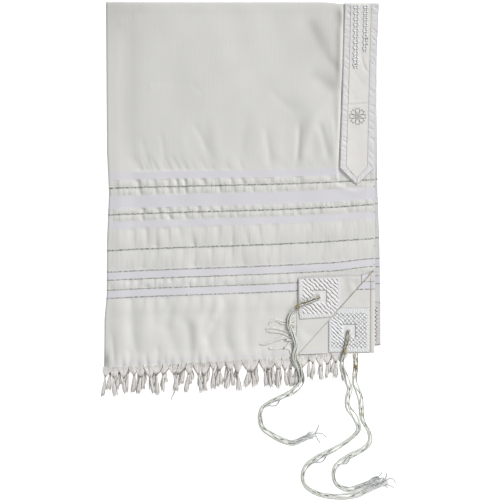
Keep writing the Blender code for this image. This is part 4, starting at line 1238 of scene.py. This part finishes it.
# %% One stitch, and its copies
def stitch_pad():
    """A pad 1 long, 1 wide and 1 high, with its ends on the x axis."""
    bpy.ops.object.select_all(action="DESELECT")
    bpy.ops.mesh.primitive_uv_sphere_add(segments=8, ring_count=5, radius=0.5)
    pad = bpy.context.object
    bpy.ops.object.mode_set(mode="EDIT")
    bpy.ops.mesh.select_all(action="SELECT")
    bpy.ops.transform.rotate(value=math.pi / 2, orient_axis="Y", center_override=(0, 0, 0))
    bpy.ops.object.mode_set(mode="OBJECT")
    return pad


def copies(name, pad, places):
    """Joined copies; a place is x, y, z, turn, length, width, height."""
    shape = points_of(pad)
    faces = [tuple(face.vertices) for face in pad.data.polygons]
    corners, made = [], []
    for x, y, z, turn, length, width, height in places:
        sized = shape * (length, width, height)
        c, s = math.cos(turn), math.sin(turn)
        made += [tuple(i + len(corners) for i in face) for face in faces]
        corners += [(x + c * a - s * b, y + s * a + c * b, z + h) for a, b, h in sized]
    mesh = bpy.data.meshes.new(name)
    mesh.from_pydata(corners, [], made)
    item = bpy.data.objects.new(name, mesh)
    bpy.context.scene.collection.objects.link(item)
    return item


# %% Sewing and silver yarns
def spun(name, colour, roughness, metallic, pitch):
    """Sewing or silver yarn: fine twisted grooves across each pad."""
    made, tree, shader = new_material(name, colour, Roughness=roughness, Metallic=metallic)
    place = add_node(tree, "TexCoord", {}).node.outputs["Object"]
    grain = add_node(tree, "TexNoise", {"Vector": place, "Scale": 1 / pitch, "Detail": 2.0})
    share = add_node(tree, "MapRange", {"Value": grain, "From Min": 0.35, "From Max": 0.65})
    base = add_node(tree, "Mix", {
        "Factor": share, "A": darker(colour, 0.90), "B": darker(colour, 1.03)},
        data_type="RGBA")
    tree.links.new(base, shader.inputs["Base Color"])
    bump = add_node(tree, "Bump", {"Height": grain, "Distance": 0.0003, "Strength": 0.6})
    tree.links.new(bump, shader.inputs["Normal"])
    return made


silver_yarn = spun("silver_lurex_yarn", "#FFFFFF", 0.35, 0.0, 0.0012)
grey_yarn = spun("grey_silver_yarn", "#A0A09B", 0.50, 0.10, 0.0012)
# Grey yarn for the leaves' outlines, which also stand in for their shadows.
outline_and_shadow_yarn = spun("grey_outline_and_shadow_yarn", "#A3A39E", 0.60, 0.0, 0.0012)
navy_yarn = spun("navy_yarn", "#3B4A63", 0.60, 0.0, 0.0012)
hem_thread = spun("hem_sewing_thread", "#ADA594", 0.70, 0.0, 0.0010)
cream_thread = spun("cream_sewing_thread", "#D6CFB6", 0.70, 0.0, 0.0010)
pad = stitch_pad()
print("one stitch", len(pad.data.polygons), "faces")


# %% Rows of lozenges and leaves
def band_top(x, y):
    """Height of the panel's upper face."""
    x, y = np.float64(x), np.float64(y)
    creases = crease_heights(np.array([x]), np.array([y]), CENTRE_CREASES)[0]
    return float(top_height(x, y) + BAND_LIFT + RIBBON + band_rise(x, y) + creases)


def ornament_row(top_x, top_y, low_x, low_y, half, period):
    """Lozenges of four leaves, with a pair of seeds between them."""
    places = []
    count = round((top_y - low_y) / period)
    for k in range(count):
        y = top_y - (k + 0.4) * period
        x = top_x + (low_x - top_x) * (k + 0.4) / count
        for sx, sy in ((1, 1), (1, -1), (-1, 1), (-1, -1)):
            places.append((x + sx * half * 0.46, y + sy * 0.0026, -sx * sy * 0.55,
                           half * 0.95, 0.0038))
        places.append((x - half * 0.40, y - 0.0076, 0.0, 0.0040, 0.0034))
        places.append((x + half * 0.40, y - 0.0076, 0.0, 0.0040, 0.0034))
    return places


def raised(places):
    """Pads of silver yarn that stand on the panel."""
    return [(x, y, band_top(x, y) + 0.0004, turn, long, wide, 0.0019)
            for x, y, turn, long, wide in places]


def outline_and_shadow_pads(places):
    """A darker outline and painted shadow: a wider, flatter pad beneath each leaf, set a little
    towards its shaded side.
    """
    return [(x - 0.0004, y - 0.0004, band_top(x, y), turn, long + 0.0010, wide + 0.0009, 0.0010)
            for x, y, turn, long, wide in places]


# %% Silver leaves, their outlines with painted shadow, and the navy accents
leaves = (ornament_row(0.2838, 0.4840, 0.2818, 0.3260, 0.0092, 0.0144)
          + ornament_row(0.3070, 0.4840, 0.3046, 0.3660, 0.0074, 0.0147))
silver_rows = finish(copies("neckband_silver_ornament", pad, raised(leaves)),
                     silver_yarn, "neckband_twill", "neckband_centre")
silver_outlines_and_shadows = finish(copies("neckband_silver_outlines_and_shadows", pad, outline_and_shadow_pads(leaves)),
                     outline_and_shadow_yarn, "neckband_twill", "neckband_centre")
NAVY_ACCENTS = (             # x, y, turn, length, width
    (0.3104, 0.3990, 1.50, 0.0048, 0.0022), (0.3065, 0.3978, 0.00, 0.0036, 0.0016),
    (0.3104, 0.3920, 1.60, 0.0036, 0.0022), (0.3100, 0.3850, 1.50, 0.0044, 0.0022),
    (0.2855, 0.3405, 1.20, 0.0036, 0.0020), (0.2805, 0.3345, 0.10, 0.0036, 0.0018),
)
accents = finish(copies("neckband_navy_accents", pad, raised(NAVY_ACCENTS)),
                 navy_yarn, "neckband_twill", "neckband_centre")

# %% The rosette
ROSETTE = (0.2862, 0.2050)               # its middle
PETALS = 8


def round_rosette(count, radius, first=0.0):
    """Places spaced evenly round the rosette's middle: x, y and the turn of each."""
    turns = [2 * math.pi * (k + first) / count for k in range(count)]
    return [(ROSETTE[0] + radius * math.cos(turn), ROSETTE[1] + radius * math.sin(turn), turn)
            for turn in turns]


def closed_line(points, radius):
    """A thin line of yarn on the panel through x, y points, closed on itself."""
    points = [(x, y, band_top(x, y) + 0.0003) for x, y in (*points, points[0])]
    return np.array(points), np.full(len(points), radius)


yarns = []
for k in range(PETALS):
    turn = 2 * math.pi * k / PETALS
    outline = []
    for j in range(12):
        angle = 2 * math.pi * j / 12
        out = 0.0132 + 0.0060 * math.cos(angle)
        side = 0.0040 * math.sin(angle) * (1.25 + 0.5 * math.cos(angle))
        outline.append((ROSETTE[0] + out * math.cos(turn) - side * math.sin(turn),
                        ROSETTE[1] + out * math.sin(turn) + side * math.cos(turn)))
    yarns.append(closed_line(outline, 0.00045))
ring = [(x, y) for x, y, _ in round_rosette(32, 0.0052)]
yarns.append(closed_line(ring, 0.00040))
rosette = finish(strands("neckband_rosette", yarns, 5), grey_yarn, "neckband_twill",
                 "neckband_centre")
seeds = round_rosette(6, 0.0029) + round_rosette(16, 0.0208, 0.5)
rosette_seeds = finish(copies("neckband_rosette_seeds", pad, [
    (x, y, band_top(x, y) + 0.0002, turn, 0.0032, 0.0017, 0.0012) for x, y, turn in seeds]),
    grey_yarn, "neckband_twill", "neckband_centre")

# %% Seams of the neckband
def stitch_row(points, pitch, length, width, lift, height_at):
    """Places of stitches in a row through x, y points."""
    line = np.array(points, float)
    walked = lengths_along(line)
    places = []
    for at in np.arange(pitch / 2, walked[-1], pitch):
        x, y = [np.interp(at, walked, line[:, k]) for k in (0, 1)]
        next_x, next_y = [np.interp(at + 0.001, walked, line[:, k]) for k in (0, 1)]
        turn = math.atan2(next_y - y, next_x - x)
        places.append((x, y, height_at(x, y) + lift, turn, length, width, 0.0009))
    return places


def row_edge(rows, side, inset):
    """One edge of a strip's rows as x, y points, moved sideways."""
    return [(row[2 * side] + inset, row[2 * side + 1]) for row in rows]


SEAMS = (                    # rows, side, inset; pitch, length, width and lift of a stitch
    ((CENTRE_ROWS, 0, 0.0008), (0.0036, 0.0031, 0.0013, 0.0002)),
    ((CENTRE_ROWS, 1, -0.0008), (0.0036, 0.0031, 0.0013, 0.0002)),
    ((BODY_RIBBON_ROWS, 0, 0.0010), (0.0034, 0.0026, 0.0007, 0.0000)),
    ((EDGE_RIBBON_ROWS, 1, -0.0010), (0.0034, 0.0026, 0.0007, 0.0000)),
)
seam = []
for edge, sizes in SEAMS:
    seam += stitch_row(row_edge(*edge), *sizes, band_top)
seams = finish(copies("neckband_seams", pad, seam), cream_thread, "neckband_twill",
               "neckband_centre")
band_pieces += [silver_rows, silver_outlines_and_shadows, accents, rosette, rosette_seeds, seams]

# %% [markdown]
# ## The corner patches
# Each corner is strengthened with a square of silver-white satin stitch: slanting ribs round a
# small plain square, and a puffed border.  The ribs are real height on a fine grid, and an
# attribute marks thread from ground.  The gaps between ribs show a dark ground, partly its own
# grey and partly painted shade, and less thread towards the rolled edge paints a shadow line
# round each patch.


# %% Satin stitch as heights
PLAIN_SQUARE = 0.0155        # half the side of the plain square in the middle
BORDER_FROM = 0.0425         # and of the square that the border goes round


def stitched(u, v, crossed_from, pitch):
    """Height and thread share of the embroidery at u, v from the patch's middle, in metres."""
    square = np.maximum(abs(u), abs(v))
    wander = 0.55 * np.sin(95 * u + 2.1 * np.sin(120 * v)) + 0.35 * np.sin(260 * v - 190 * u)
    one_way = np.cos(2 * math.pi * (u * 0.69 + v * 0.72) / pitch + wander)
    other = np.cos(2 * math.pi * (u * 0.72 - v * 0.69) / pitch - wander)
    breaks = np.cos(2 * math.pi * (u * 0.75 - v * 0.66) / 0.0215 + 2.4 * np.sin(310 * (u + v)))
    crossed = soft((np.maximum(u, abs(v) - 0.045) - crossed_from) / 0.004)
    one_way = one_way - 0.9 * soft((-0.80 - breaks) / 0.15)
    ribs = np.where(crossed > 0.5, np.minimum(one_way, other) + 0.10, one_way)
    ribs = soft((ribs + 0.96) / 0.50)
    border = soft((square - BORDER_FROM) / 0.003)
    round_edge = np.where(abs(u) > abs(v), v, u)
    puffs = 0.5 + 0.5 * np.sin(round_edge * 1500 + 1.8 * np.sin(round_edge * 390 + square * 300))
    inner = 1 - soft((square - PLAIN_SQUARE) / 0.0015)
    shade = soft((0.0018 - abs(v - PLAIN_SQUARE)) / 0.0010) * (abs(u) < PLAIN_SQUARE + 0.001)
    beside = soft((0.0018 - abs(u - PLAIN_SQUARE)) / 0.0010) * (abs(v) < PLAIN_SQUARE + 0.001)
    shade = np.maximum(shade, beside)
    height = ribs * (1 - border) * (1 - inner) * 0.0014 + border * (0.0005 + 0.0010 * puffs)
    height += inner * 0.0003 - shade * 0.0004
    thread = ribs * (1 - border) * (1 - inner) + border * (0.60 + 0.40 * puffs) + inner * 0.92
    thread -= 0.25 * soft((0.0012 - abs(square - 0.0105)) / 0.0008)
    return height.clip(0), (thread * (1 - 0.9 * shade)).clip(0, 1)


# %% A patch laid on its bed
def patch(name, rows, middle, bed, crossed_from, pitch, surface, node, count):
    """An embroidered patch laid over a bed, with its border rolled down at the edge."""
    width = math.dist(rows[0][:2], rows[0][2:])
    item = cloth_grid(name, np.linspace(0, width, count + 1), spaced_rows(rows, 0.0014))
    across, along = cut_of(item)
    x, y, run = strip_points(rows, across / width, along)
    height, thread = stitched(x - middle[0], y - middle[1], crossed_from, pitch)
    rim = soft(across / 0.003) * soft((width - across) / 0.003)
    rim *= soft(along / 0.003) * soft((run[-1] - along) / 0.003)
    set_points(item, x, y, bed(x, y) + 0.0005 + height * (0.25 + 0.75 * rim))
    # Painted shadow: less thread shows towards the rolled-down edge, a darker line round the patch.
    thread *= 0.45 + 0.55 * rim
    mark_points(item, "thread", thread)
    add_wall(item, 0.0007)
    return finish(item, surface, "patch_brocade", node)


# %% Rayon satin stitch
def brocade(name, thread, ground):
    """Satin stitch in rayon: glossy along its ribs, with a matt grey ground between them."""
    made, tree, shader = new_material(name, thread, Sheen_Weight=0.1, Specular_IOR_Level=0.6)
    mark = add_node(tree, "Attribute", {}, attribute_name="thread")
    share = mark.node.outputs["Fac"]
    place = add_node(tree, "TexCoord", {}).node.outputs["Object"]
    grain = add_node(tree, "TexNoise", {"Vector": place, "Scale": 700.0, "Detail": 2.0})
    tone = add_node(tree, "MapRange", {"Value": grain, "From Min": 0.3, "From Max": 0.7})
    lit = add_node(tree, "Mix", {
        "Factor": tone, "A": darker(thread, 0.95), "B": darker(thread, 1.03)}, data_type="RGBA")
    base = add_node(tree, "Mix", {"Factor": share, "A": ground, "B": lit}, data_type="RGBA")
    tree.links.new(base, shader.inputs["Base Color"])
    rough = add_node(tree, "MapRange", {"Value": share, "To Min": 0.85, "To Max": 0.42})
    tree.links.new(rough, shader.inputs["Roughness"])
    bump = add_node(tree, "Bump", {"Height": grain, "Distance": 0.0004, "Strength": 0.5})
    tree.links.new(bump, shader.inputs["Normal"])
    return made


warm_brocade = brocade("rayon_satin_stitch_warm", "#FFFAF8", "#A39C97")
white_brocade = brocade("rayon_satin_stitch_white", "#FFFFFE", "#989290")
# The third patch lies low, in shade: its copy has painted shade, a darker thread and a much darker
# ground.
shaded_brocade = brocade("rayon_satin_stitch_in_painted_shade", "#E9E4E2", "#4A4644")


# %% What the patches lie on
def on_turned_corner(x, y):
    """The upper face of the turned-back cloth."""
    return top_height(x, y) + 2 * DIAGONAL_RADIUS + lifted_end(x, y) + CLOTH / 2


def on_second(x, y):
    """The upper face of the second quarter."""
    return np.full_like(x, LEVEL_2 + CLOTH / 2)


def on_third(x, y):
    """The upper face of the third quarter."""
    return np.full_like(x, LEVEL_3 + CLOTH / 2)


# %% The three patches that show
# A row is x and y of the patch's left edge and of its right edge.
TURNED_PATCH = ((0.1385, -0.2005, 0.2450, -0.1945), (0.1385, -0.2860, 0.2450, -0.2672),
                (0.1425, -0.3015, 0.2190, -0.2965))
SECOND_PATCH = ((0.2140, -0.2735, 0.3170, -0.2735), (0.2140, -0.3850, 0.3170, -0.3850))
THIRD_PATCH = ((0.3225, -0.2590, 0.3445, -0.2590), (0.3225, -0.3660, 0.3445, -0.3660))
patches = [
    patch("patch_on_turned_corner", TURNED_PATCH, (0.1925, -0.2448), on_turned_corner, 0.2,
          0.0078, warm_brocade, "patch_turned_corner", 78),
    patch("patch_on_second_quarter", SECOND_PATCH, (0.2650, -0.3300), on_second, -0.016,
          0.0068, white_brocade, "patch_second_layer", 76),
    patch("patch_on_third_quarter", THIRD_PATCH, (0.2920, -0.3125), on_third, -0.016,
          0.0068, shaded_brocade, "patch_third_layer", 16),
]

# %% The second quarter's hem
# A narrow turned hem, a little raised, striped like the quarter that it edges.
HEM_LEFT, HEM_RIGHT, HEM_TOP, HEM_END = 0.3188, 0.3292, -0.1895, -0.3846


def along_at(item, x, y):
    """How far along the cut a laid quarter is at y, near one x."""
    laid = points_of(item) - np.array(SHIFT)
    along = cut_of(item)[1]
    near = (abs(laid[:, 0] - x) < 0.005) & (along > 0)
    order = np.argsort(laid[near, 1])
    return np.interp(y, laid[near, 1][order], along[near][order])


width = HEM_RIGHT - HEM_LEFT
second_hem = cloth_grid("hem_of_second_quarter", np.linspace(0, width, 9),
                        np.linspace(0, HEM_TOP - HEM_END, 60))
across, along = cut_of(second_hem)
share = across / width
puffed = 0.0005 * np.sin(math.pi * share).clip(0) ** 0.6     # never a power of less than 0
set_points(second_hem, HEM_LEFT + across, HEM_TOP - along,
           LEVEL_2 + 0.0005 + puffed + 0.00012 * np.sin(along * 900))
set_cut(second_hem, across, along_at(second, (HEM_LEFT + HEM_RIGHT) / 2, HEM_TOP - along))
add_wall(second_hem, 0.0006)
finish(second_hem, worsted_hem, "wool_cloth", "hem_second_layer")


# %% Stitches down the hems
HEM_STITCH = (0.0048, 0.0034, 0.0009, 0.0001)        # pitch, length, width and lift
DOWN_THE_HEM = np.linspace(0.0, 0.664, 60)[37:]      # from the neckband to the turned corner


def on_top_hem(x, y):
    """The top quarter's hem, which has settled a little."""
    return float(top_height(x, y)) - 0.0004 + CLOTH / 2


def on_second_hem(x, y):
    """The second quarter's hem."""
    return LEVEL_2 + 0.0013


top_hem_line = [(float(neck_x(down)) - 0.0066, float(fold_line_y(0.32) - down))
                for down in DOWN_THE_HEM]
second_hem_line = [(0.3200, -0.2000), (0.3200, -0.3840)]
hem_places = stitch_row(top_hem_line, *HEM_STITCH, on_top_hem)
hem_places += stitch_row(second_hem_line, *HEM_STITCH, on_second_hem)
hem_stitches = finish(copies("hem_stitches", pad, hem_places), hem_thread, "wool_cloth",
                      "hem_second_layer")

# %% [markdown]
# ## The fringe
# Beyond its woven end the cloth's warp is left long.  Every twenty millimetres of warp ends
# are drawn together, knotted, and left as a brush.  Each tassel is a fan of threads, a knot
# and a brush, all strands of the same kind, and each quarter's fringe is one joined mesh.  The
# turned corner has few threads left, so each of those follows points of its own.


# %% The fan of threads that a knot draws together
# Along a fan, from inside the woven end to the knot: share of the way, and of the full thickness.
FAN_SHARES = (0.0, 0.12, 0.30, 0.52, 0.78, 1.0)
FAN_SWELL = (0.50, 0.88, 0.95, 1.00, 0.90, 0.80)
THREADS, FULLNESS = 10, 0.60             # threads of a fan, and how far they fill its width
# The side that a rolled thread shows is its yarn's painted shade, a dark line down a fan or brush.
ROLLED = 0.2                 # turns by which an outer thread is rolled, so that its side shows
DOWN, SIDE = np.array((0.0, -1.0)), np.array((1.0, 0.0))


def fan(root, knot, width, levels, dark_side, chance):
    """Runs of the threads between the woven end and a knot; root and knot are x, y."""
    root_level, knot_z, _ = levels
    runs = []
    for k in range(THREADS):
        off = width * ((k + 0.5) / THREADS - 0.5)
        start = root + SIDE * off - DOWN * 0.0030
        near = knot + SIDE * off * 0.12
        points = []
        top_z = root_level(*start)
        for share in FAN_SHARES:
            place = start + (near - start) * share
            place = place + SIDE * 0.88 * off * (math.cos(1.57 * share ** 1.3) + share - 1)
            domed = 0.0009 * share * math.cos(2.6 * off / width)
            height = top_z + (knot_z - top_z) * share + domed
            height -= 0.0005 * (share == 0.0)
            points.append((*place, height))
        thick = FULLNESS * width / THREADS * chance.uniform(0.85, 1.12)
        runs.append((np.array(points), thick * np.array(FAN_SWELL), ROLLED * (k == dark_side)))
    return runs


# %% The brush that hangs from it
BRUSH = 9                                # threads of a brush
BRUSH_SHARES = (0.0, 0.25, 0.5, 0.75, 1.0)
BRUSH_SWELL = (0.9, 1.0, 1.1, 0.95, 0.4)
SPREAD = (0.0040, 0.0074)                # least and greatest half width at the tip
GATHERED_IN = 0.35 * SPREAD[0]           # half width at the knot


def brush(knot, heading, long, levels, chance):
    """Runs of the loose threads below a knot; heading is their direction."""
    _, knot_z, tip_z = levels
    cross = np.array((-heading[1], heading[0]))
    spread_out = chance.uniform(*SPREAD)
    curl = chance.uniform(-0.0022, 0.0022)
    runs = []
    for k in range(BRUSH):
        out = 2 * ((k + 0.5) / BRUSH - 0.5) * chance.uniform(0.85, 1.1)
        run = long * chance.uniform(0.84, 1.0)
        points = []
        for share in BRUSH_SHARES:
            wide = GATHERED_IN + (spread_out - GATHERED_IN) * soft(share * 1.3)
            sideward = out * wide + curl * math.sin(2.6 * share)
            place = knot + heading * run * share + cross * sideward
            domed = 0.0012 * math.cos(1.4 * out)
            height = knot_z + (tip_z - knot_z) * share ** 0.7 + domed + chance.uniform(0, 0.0004)
            points.append((*place, height))
        thick = chance.uniform(0.00090, 0.00120)
        # The outer threads of a brush, and some inner ones a little, show their painted shade.
        rolled = ROLLED * (k in (0, BRUSH - 1)) + 0.1 * chance.random() * (k % 3 == 1)
        runs.append((np.array(points), thick * np.array(BRUSH_SWELL), rolled))
    return runs


# %% A knotted tassel, and a row of them
TASSEL_WIDTH = 0.0205                    # of the warp that one tassel takes in


def knotted_tassel(root, width, reach, chance, levels):
    """Runs of a tassel's threads, and the two pads of its knot."""
    swing = chance.uniform(-0.20, 0.20)
    # Most fans have one outer thread whose painted shade is rolled up, a dark line down the fan's
    # side.
    dark_side = chance.choice((0, 0, THREADS - 1, -1))
    knot = root + DOWN * reach * chance.uniform(0.26, 0.42) + SIDE * chance.uniform(-0.0065, 0.0065)
    runs = fan(root, knot, width, levels, dark_side, chance)
    heading = DOWN * math.cos(swing) + SIDE * math.sin(swing)
    runs += brush(knot, heading, reach - (knot - root).dot(DOWN), levels, chance)
    turn, knot_z = math.atan2(heading[1], heading[0]), levels[1]
    knots = [(*knot, knot_z + 0.0008, turn + 1.2, 0.0060, 0.0034, 0.0040),
             (*(knot + heading * 0.0022), knot_z + 0.0007, turn + 1.9, 0.0052, 0.0030, 0.0036)]
    return runs, knots


def fringe_row(name, places, levels, seed, node):
    """Tassels at places, each x and y of a root, and its reach; levels are the height of the
    roots, as a function of x and y, and those of knots and tips."""
    chance = random.Random(seed)
    runs, knots = [], []
    for x, y, reach in places:
        width = TASSEL_WIDTH * chance.uniform(1.05, 1.50)
        more, knot = knotted_tassel(np.array((x, y)), width, reach, chance, levels)
        runs += more
        knots += knot
    ends = finish(strands(name, runs, 5), warp_ends, "fringe_ends", node)
    balls = finish(copies(name + "_knots", pad, knots), warp_knots, "fringe_ends", node)
    return [ends, balls]


# %% Where the weaving ends
def woven_end(x):
    """Where the top quarter's weaving ends."""
    left = crest_x(HALF_LENGTH)
    return float(plan(np.float64((x - left) / (NECK_EDGE_X - left)), np.float64(HALF_LENGTH))[1])


def second_end(x):
    """Where the second quarter's weaving ends."""
    return float(np.interp(x, (-0.345, 0.190, 0.225, 0.330), (-0.4120, -0.3930, -0.3868, -0.3855)))


def level(height):
    """The same height all along a fringe's root."""
    return lambda x, y: height


def on_woven_end(x, y):
    """The top quarter's own height at its woven end."""
    x, end = np.array([x]), np.array([woven_end(x) + 0.002])
    return float((top_height(x, end) + top_relief(x, end, np.array([HALF_LENGTH])))[0])


# %% The three fringes
FIRST_TASSEL, TASSEL_PITCH, TASSELS = -0.3370, 0.0203, 24
RIGHT_TASSEL, RIGHT_PITCH, RIGHT_TASSELS = 0.1540, 0.0190, 6     # beyond the turned corner
chance = random.Random(21)
front, behind, right = [], [], []
for k in range(TASSELS):
    x = FIRST_TASSEL + k * TASSEL_PITCH + chance.uniform(-0.0018, 0.0018)
    front.append((x, woven_end(x), chance.uniform(0.070, 0.081)))
    x += chance.choice((-0.0035, 0.0040, 0.0090, 0.0100))
    behind.append((x, second_end(front[-1][0]) - 0.001, chance.uniform(0.062, 0.078)))
for k in range(RIGHT_TASSELS):
    x = RIGHT_TASSEL + k * RIGHT_PITCH + chance.uniform(-0.002, 0.002)
    right.append((x, second_end(x), chance.uniform(0.062, 0.074)))
lower = [(x + 0.004, y + 0.010, reach - 0.002) for x, y, reach in behind + right[:5]]
front_fringe = fringe_row("fringe_of_top_quarter", front, (on_woven_end, 0.0064, 0.0036), 31,
                          "fringe_front_layer")
hidden_fringe = fringe_row("fringe_of_second_quarter", behind + right,
                           (level(0.0048), 0.0036, 0.0020), 32, "fringe_hidden_layers")
low_fringe = fringe_row("fringe_of_lower_quarters", lower, (level(0.0024), 0.0020, 0.0012), 33,
                        "fringe_hidden_layers")

# %% The turned corner's own tassels
# Few threads each, lying as they fell: x and y of each run, from the cloth's edge to its tip.
# A run is three fine threads, loosely twisted.
TURNED_RUNS = (
    ((0.1310, -0.3030), (0.1154, -0.3092), (0.1053, -0.3067), (0.0940, -0.3056), (0.0828, -0.3018),
     (0.0715, -0.3056), (0.0636, -0.3153)),
    ((0.1310, -0.3185), (0.1158, -0.3110), (0.1041, -0.3130), (0.0951, -0.3122), (0.0873, -0.3063),
     (0.0783, -0.3048), (0.0681, -0.3125)),
    ((0.1310, -0.3332), (0.1165, -0.3321), (0.1075, -0.3310), (0.0918, -0.3270), (0.0738, -0.3238),
     (0.0614, -0.3243), (0.0562, -0.3285)),
    ((0.1310, -0.3495), (0.1165, -0.3450), (0.1053, -0.3389), (0.0895, -0.3348), (0.0715, -0.3337),
     (0.0569, -0.3306)),
    ((0.1310, -0.3510), (0.1165, -0.3524), (0.1075, -0.3508), (0.1008, -0.3450), (0.0918, -0.3495),
     (0.0738, -0.3558), (0.0558, -0.3625), (0.0378, -0.3648)),
    ((0.1310, -0.3545), (0.1170, -0.3548), (0.1090, -0.3530), (0.1010, -0.3490), (0.0900, -0.3525),
     (0.0760, -0.3572), (0.0580, -0.3642), (0.0420, -0.3662)),
    ((0.1310, -0.3560), (0.1165, -0.3603), (0.1109, -0.3666), (0.1064, -0.3722), (0.1019, -0.3736),
     (0.0805, -0.3746), (0.0693, -0.3740), (0.0614, -0.3712)),
    ((0.1310, -0.3880), (0.1190, -0.3839), (0.1150, -0.3765), (0.1019, -0.3740), (0.0850, -0.3762),
     (0.0700, -0.3765), (0.0640, -0.3745)),
)
TURNED_KNOTS = ((0.1154, -0.3100), (0.1075, -0.3520), (0.1025, -0.3738))


TURNED_HEIGHT = 0.0112                   # of a run where it leaves the cloth, and of the knots
THREAD_RADIUS = 0.00115


# %% Wisps along those runs
def wisp(run, chance):
    """Three fine threads, loosely twisted along one run."""
    line = through([(x, y, 0.0) for x, y in run], 0.0018)
    share = np.linspace(0, 1, len(line))
    aside = sideways(line)[1]
    turn = chance.uniform(7.0, 13.0) * share + chance.uniform(0, 6.28)
    runs = []
    for k in range(3):
        round_it = turn + 2 * math.pi * k / 3
        points = line + aside * (0.0012 * np.cos(round_it))[:, None]
        points[:, 2] = TURNED_HEIGHT - 0.0014 * share ** 0.6 + 0.0006 * np.sin(round_it)
        end = round(len(points) * chance.uniform(0.93, 1.0))
        runs.append((points[:end], THREAD_RADIUS * np.linspace(1.0, 0.8, end)))
    return runs


chance = random.Random(36)
turned_threads = [thread for run in TURNED_RUNS for thread in wisp(run, chance)]
turned_pads = [(x, y, TURNED_HEIGHT, chance.uniform(0.9, 2.2), 0.0060, 0.0040, 0.0040)
               for x, y in TURNED_KNOTS]
turned_fringe = [
    finish(strands("fringe_of_turned_corner", turned_threads, 5),
           turned_ends, "fringe_ends", "fringe_turned_corner"),
    finish(copies("fringe_of_turned_corner_knots", pad, turned_pads),
           warp_knots, "fringe_ends", "fringe_turned_corner")]

# %% One stray thread of another yarn
STRAY_ROUTE = (
    (-0.1690, -0.4700, 0.0040), (-0.1720, -0.4850, 0.0012), (-0.1775, -0.4960, 0.0010),
    (-0.1810, -0.5070, 0.0012),
)
stray = finish(strands("stray_thread", [loose_thread(STRAY_ROUTE, 0.0013)]), stray_yarn,
               "fringe_ends", "fringe_front_layer")

# %% [markdown]
# ## The stitch pad
# The shawl is one cloth, laid twice double.  The pad that the stitches were copied from is
# removed, now that its copies are made.

# %% The stitch pad removed
bpy.data.objects.remove(pad)
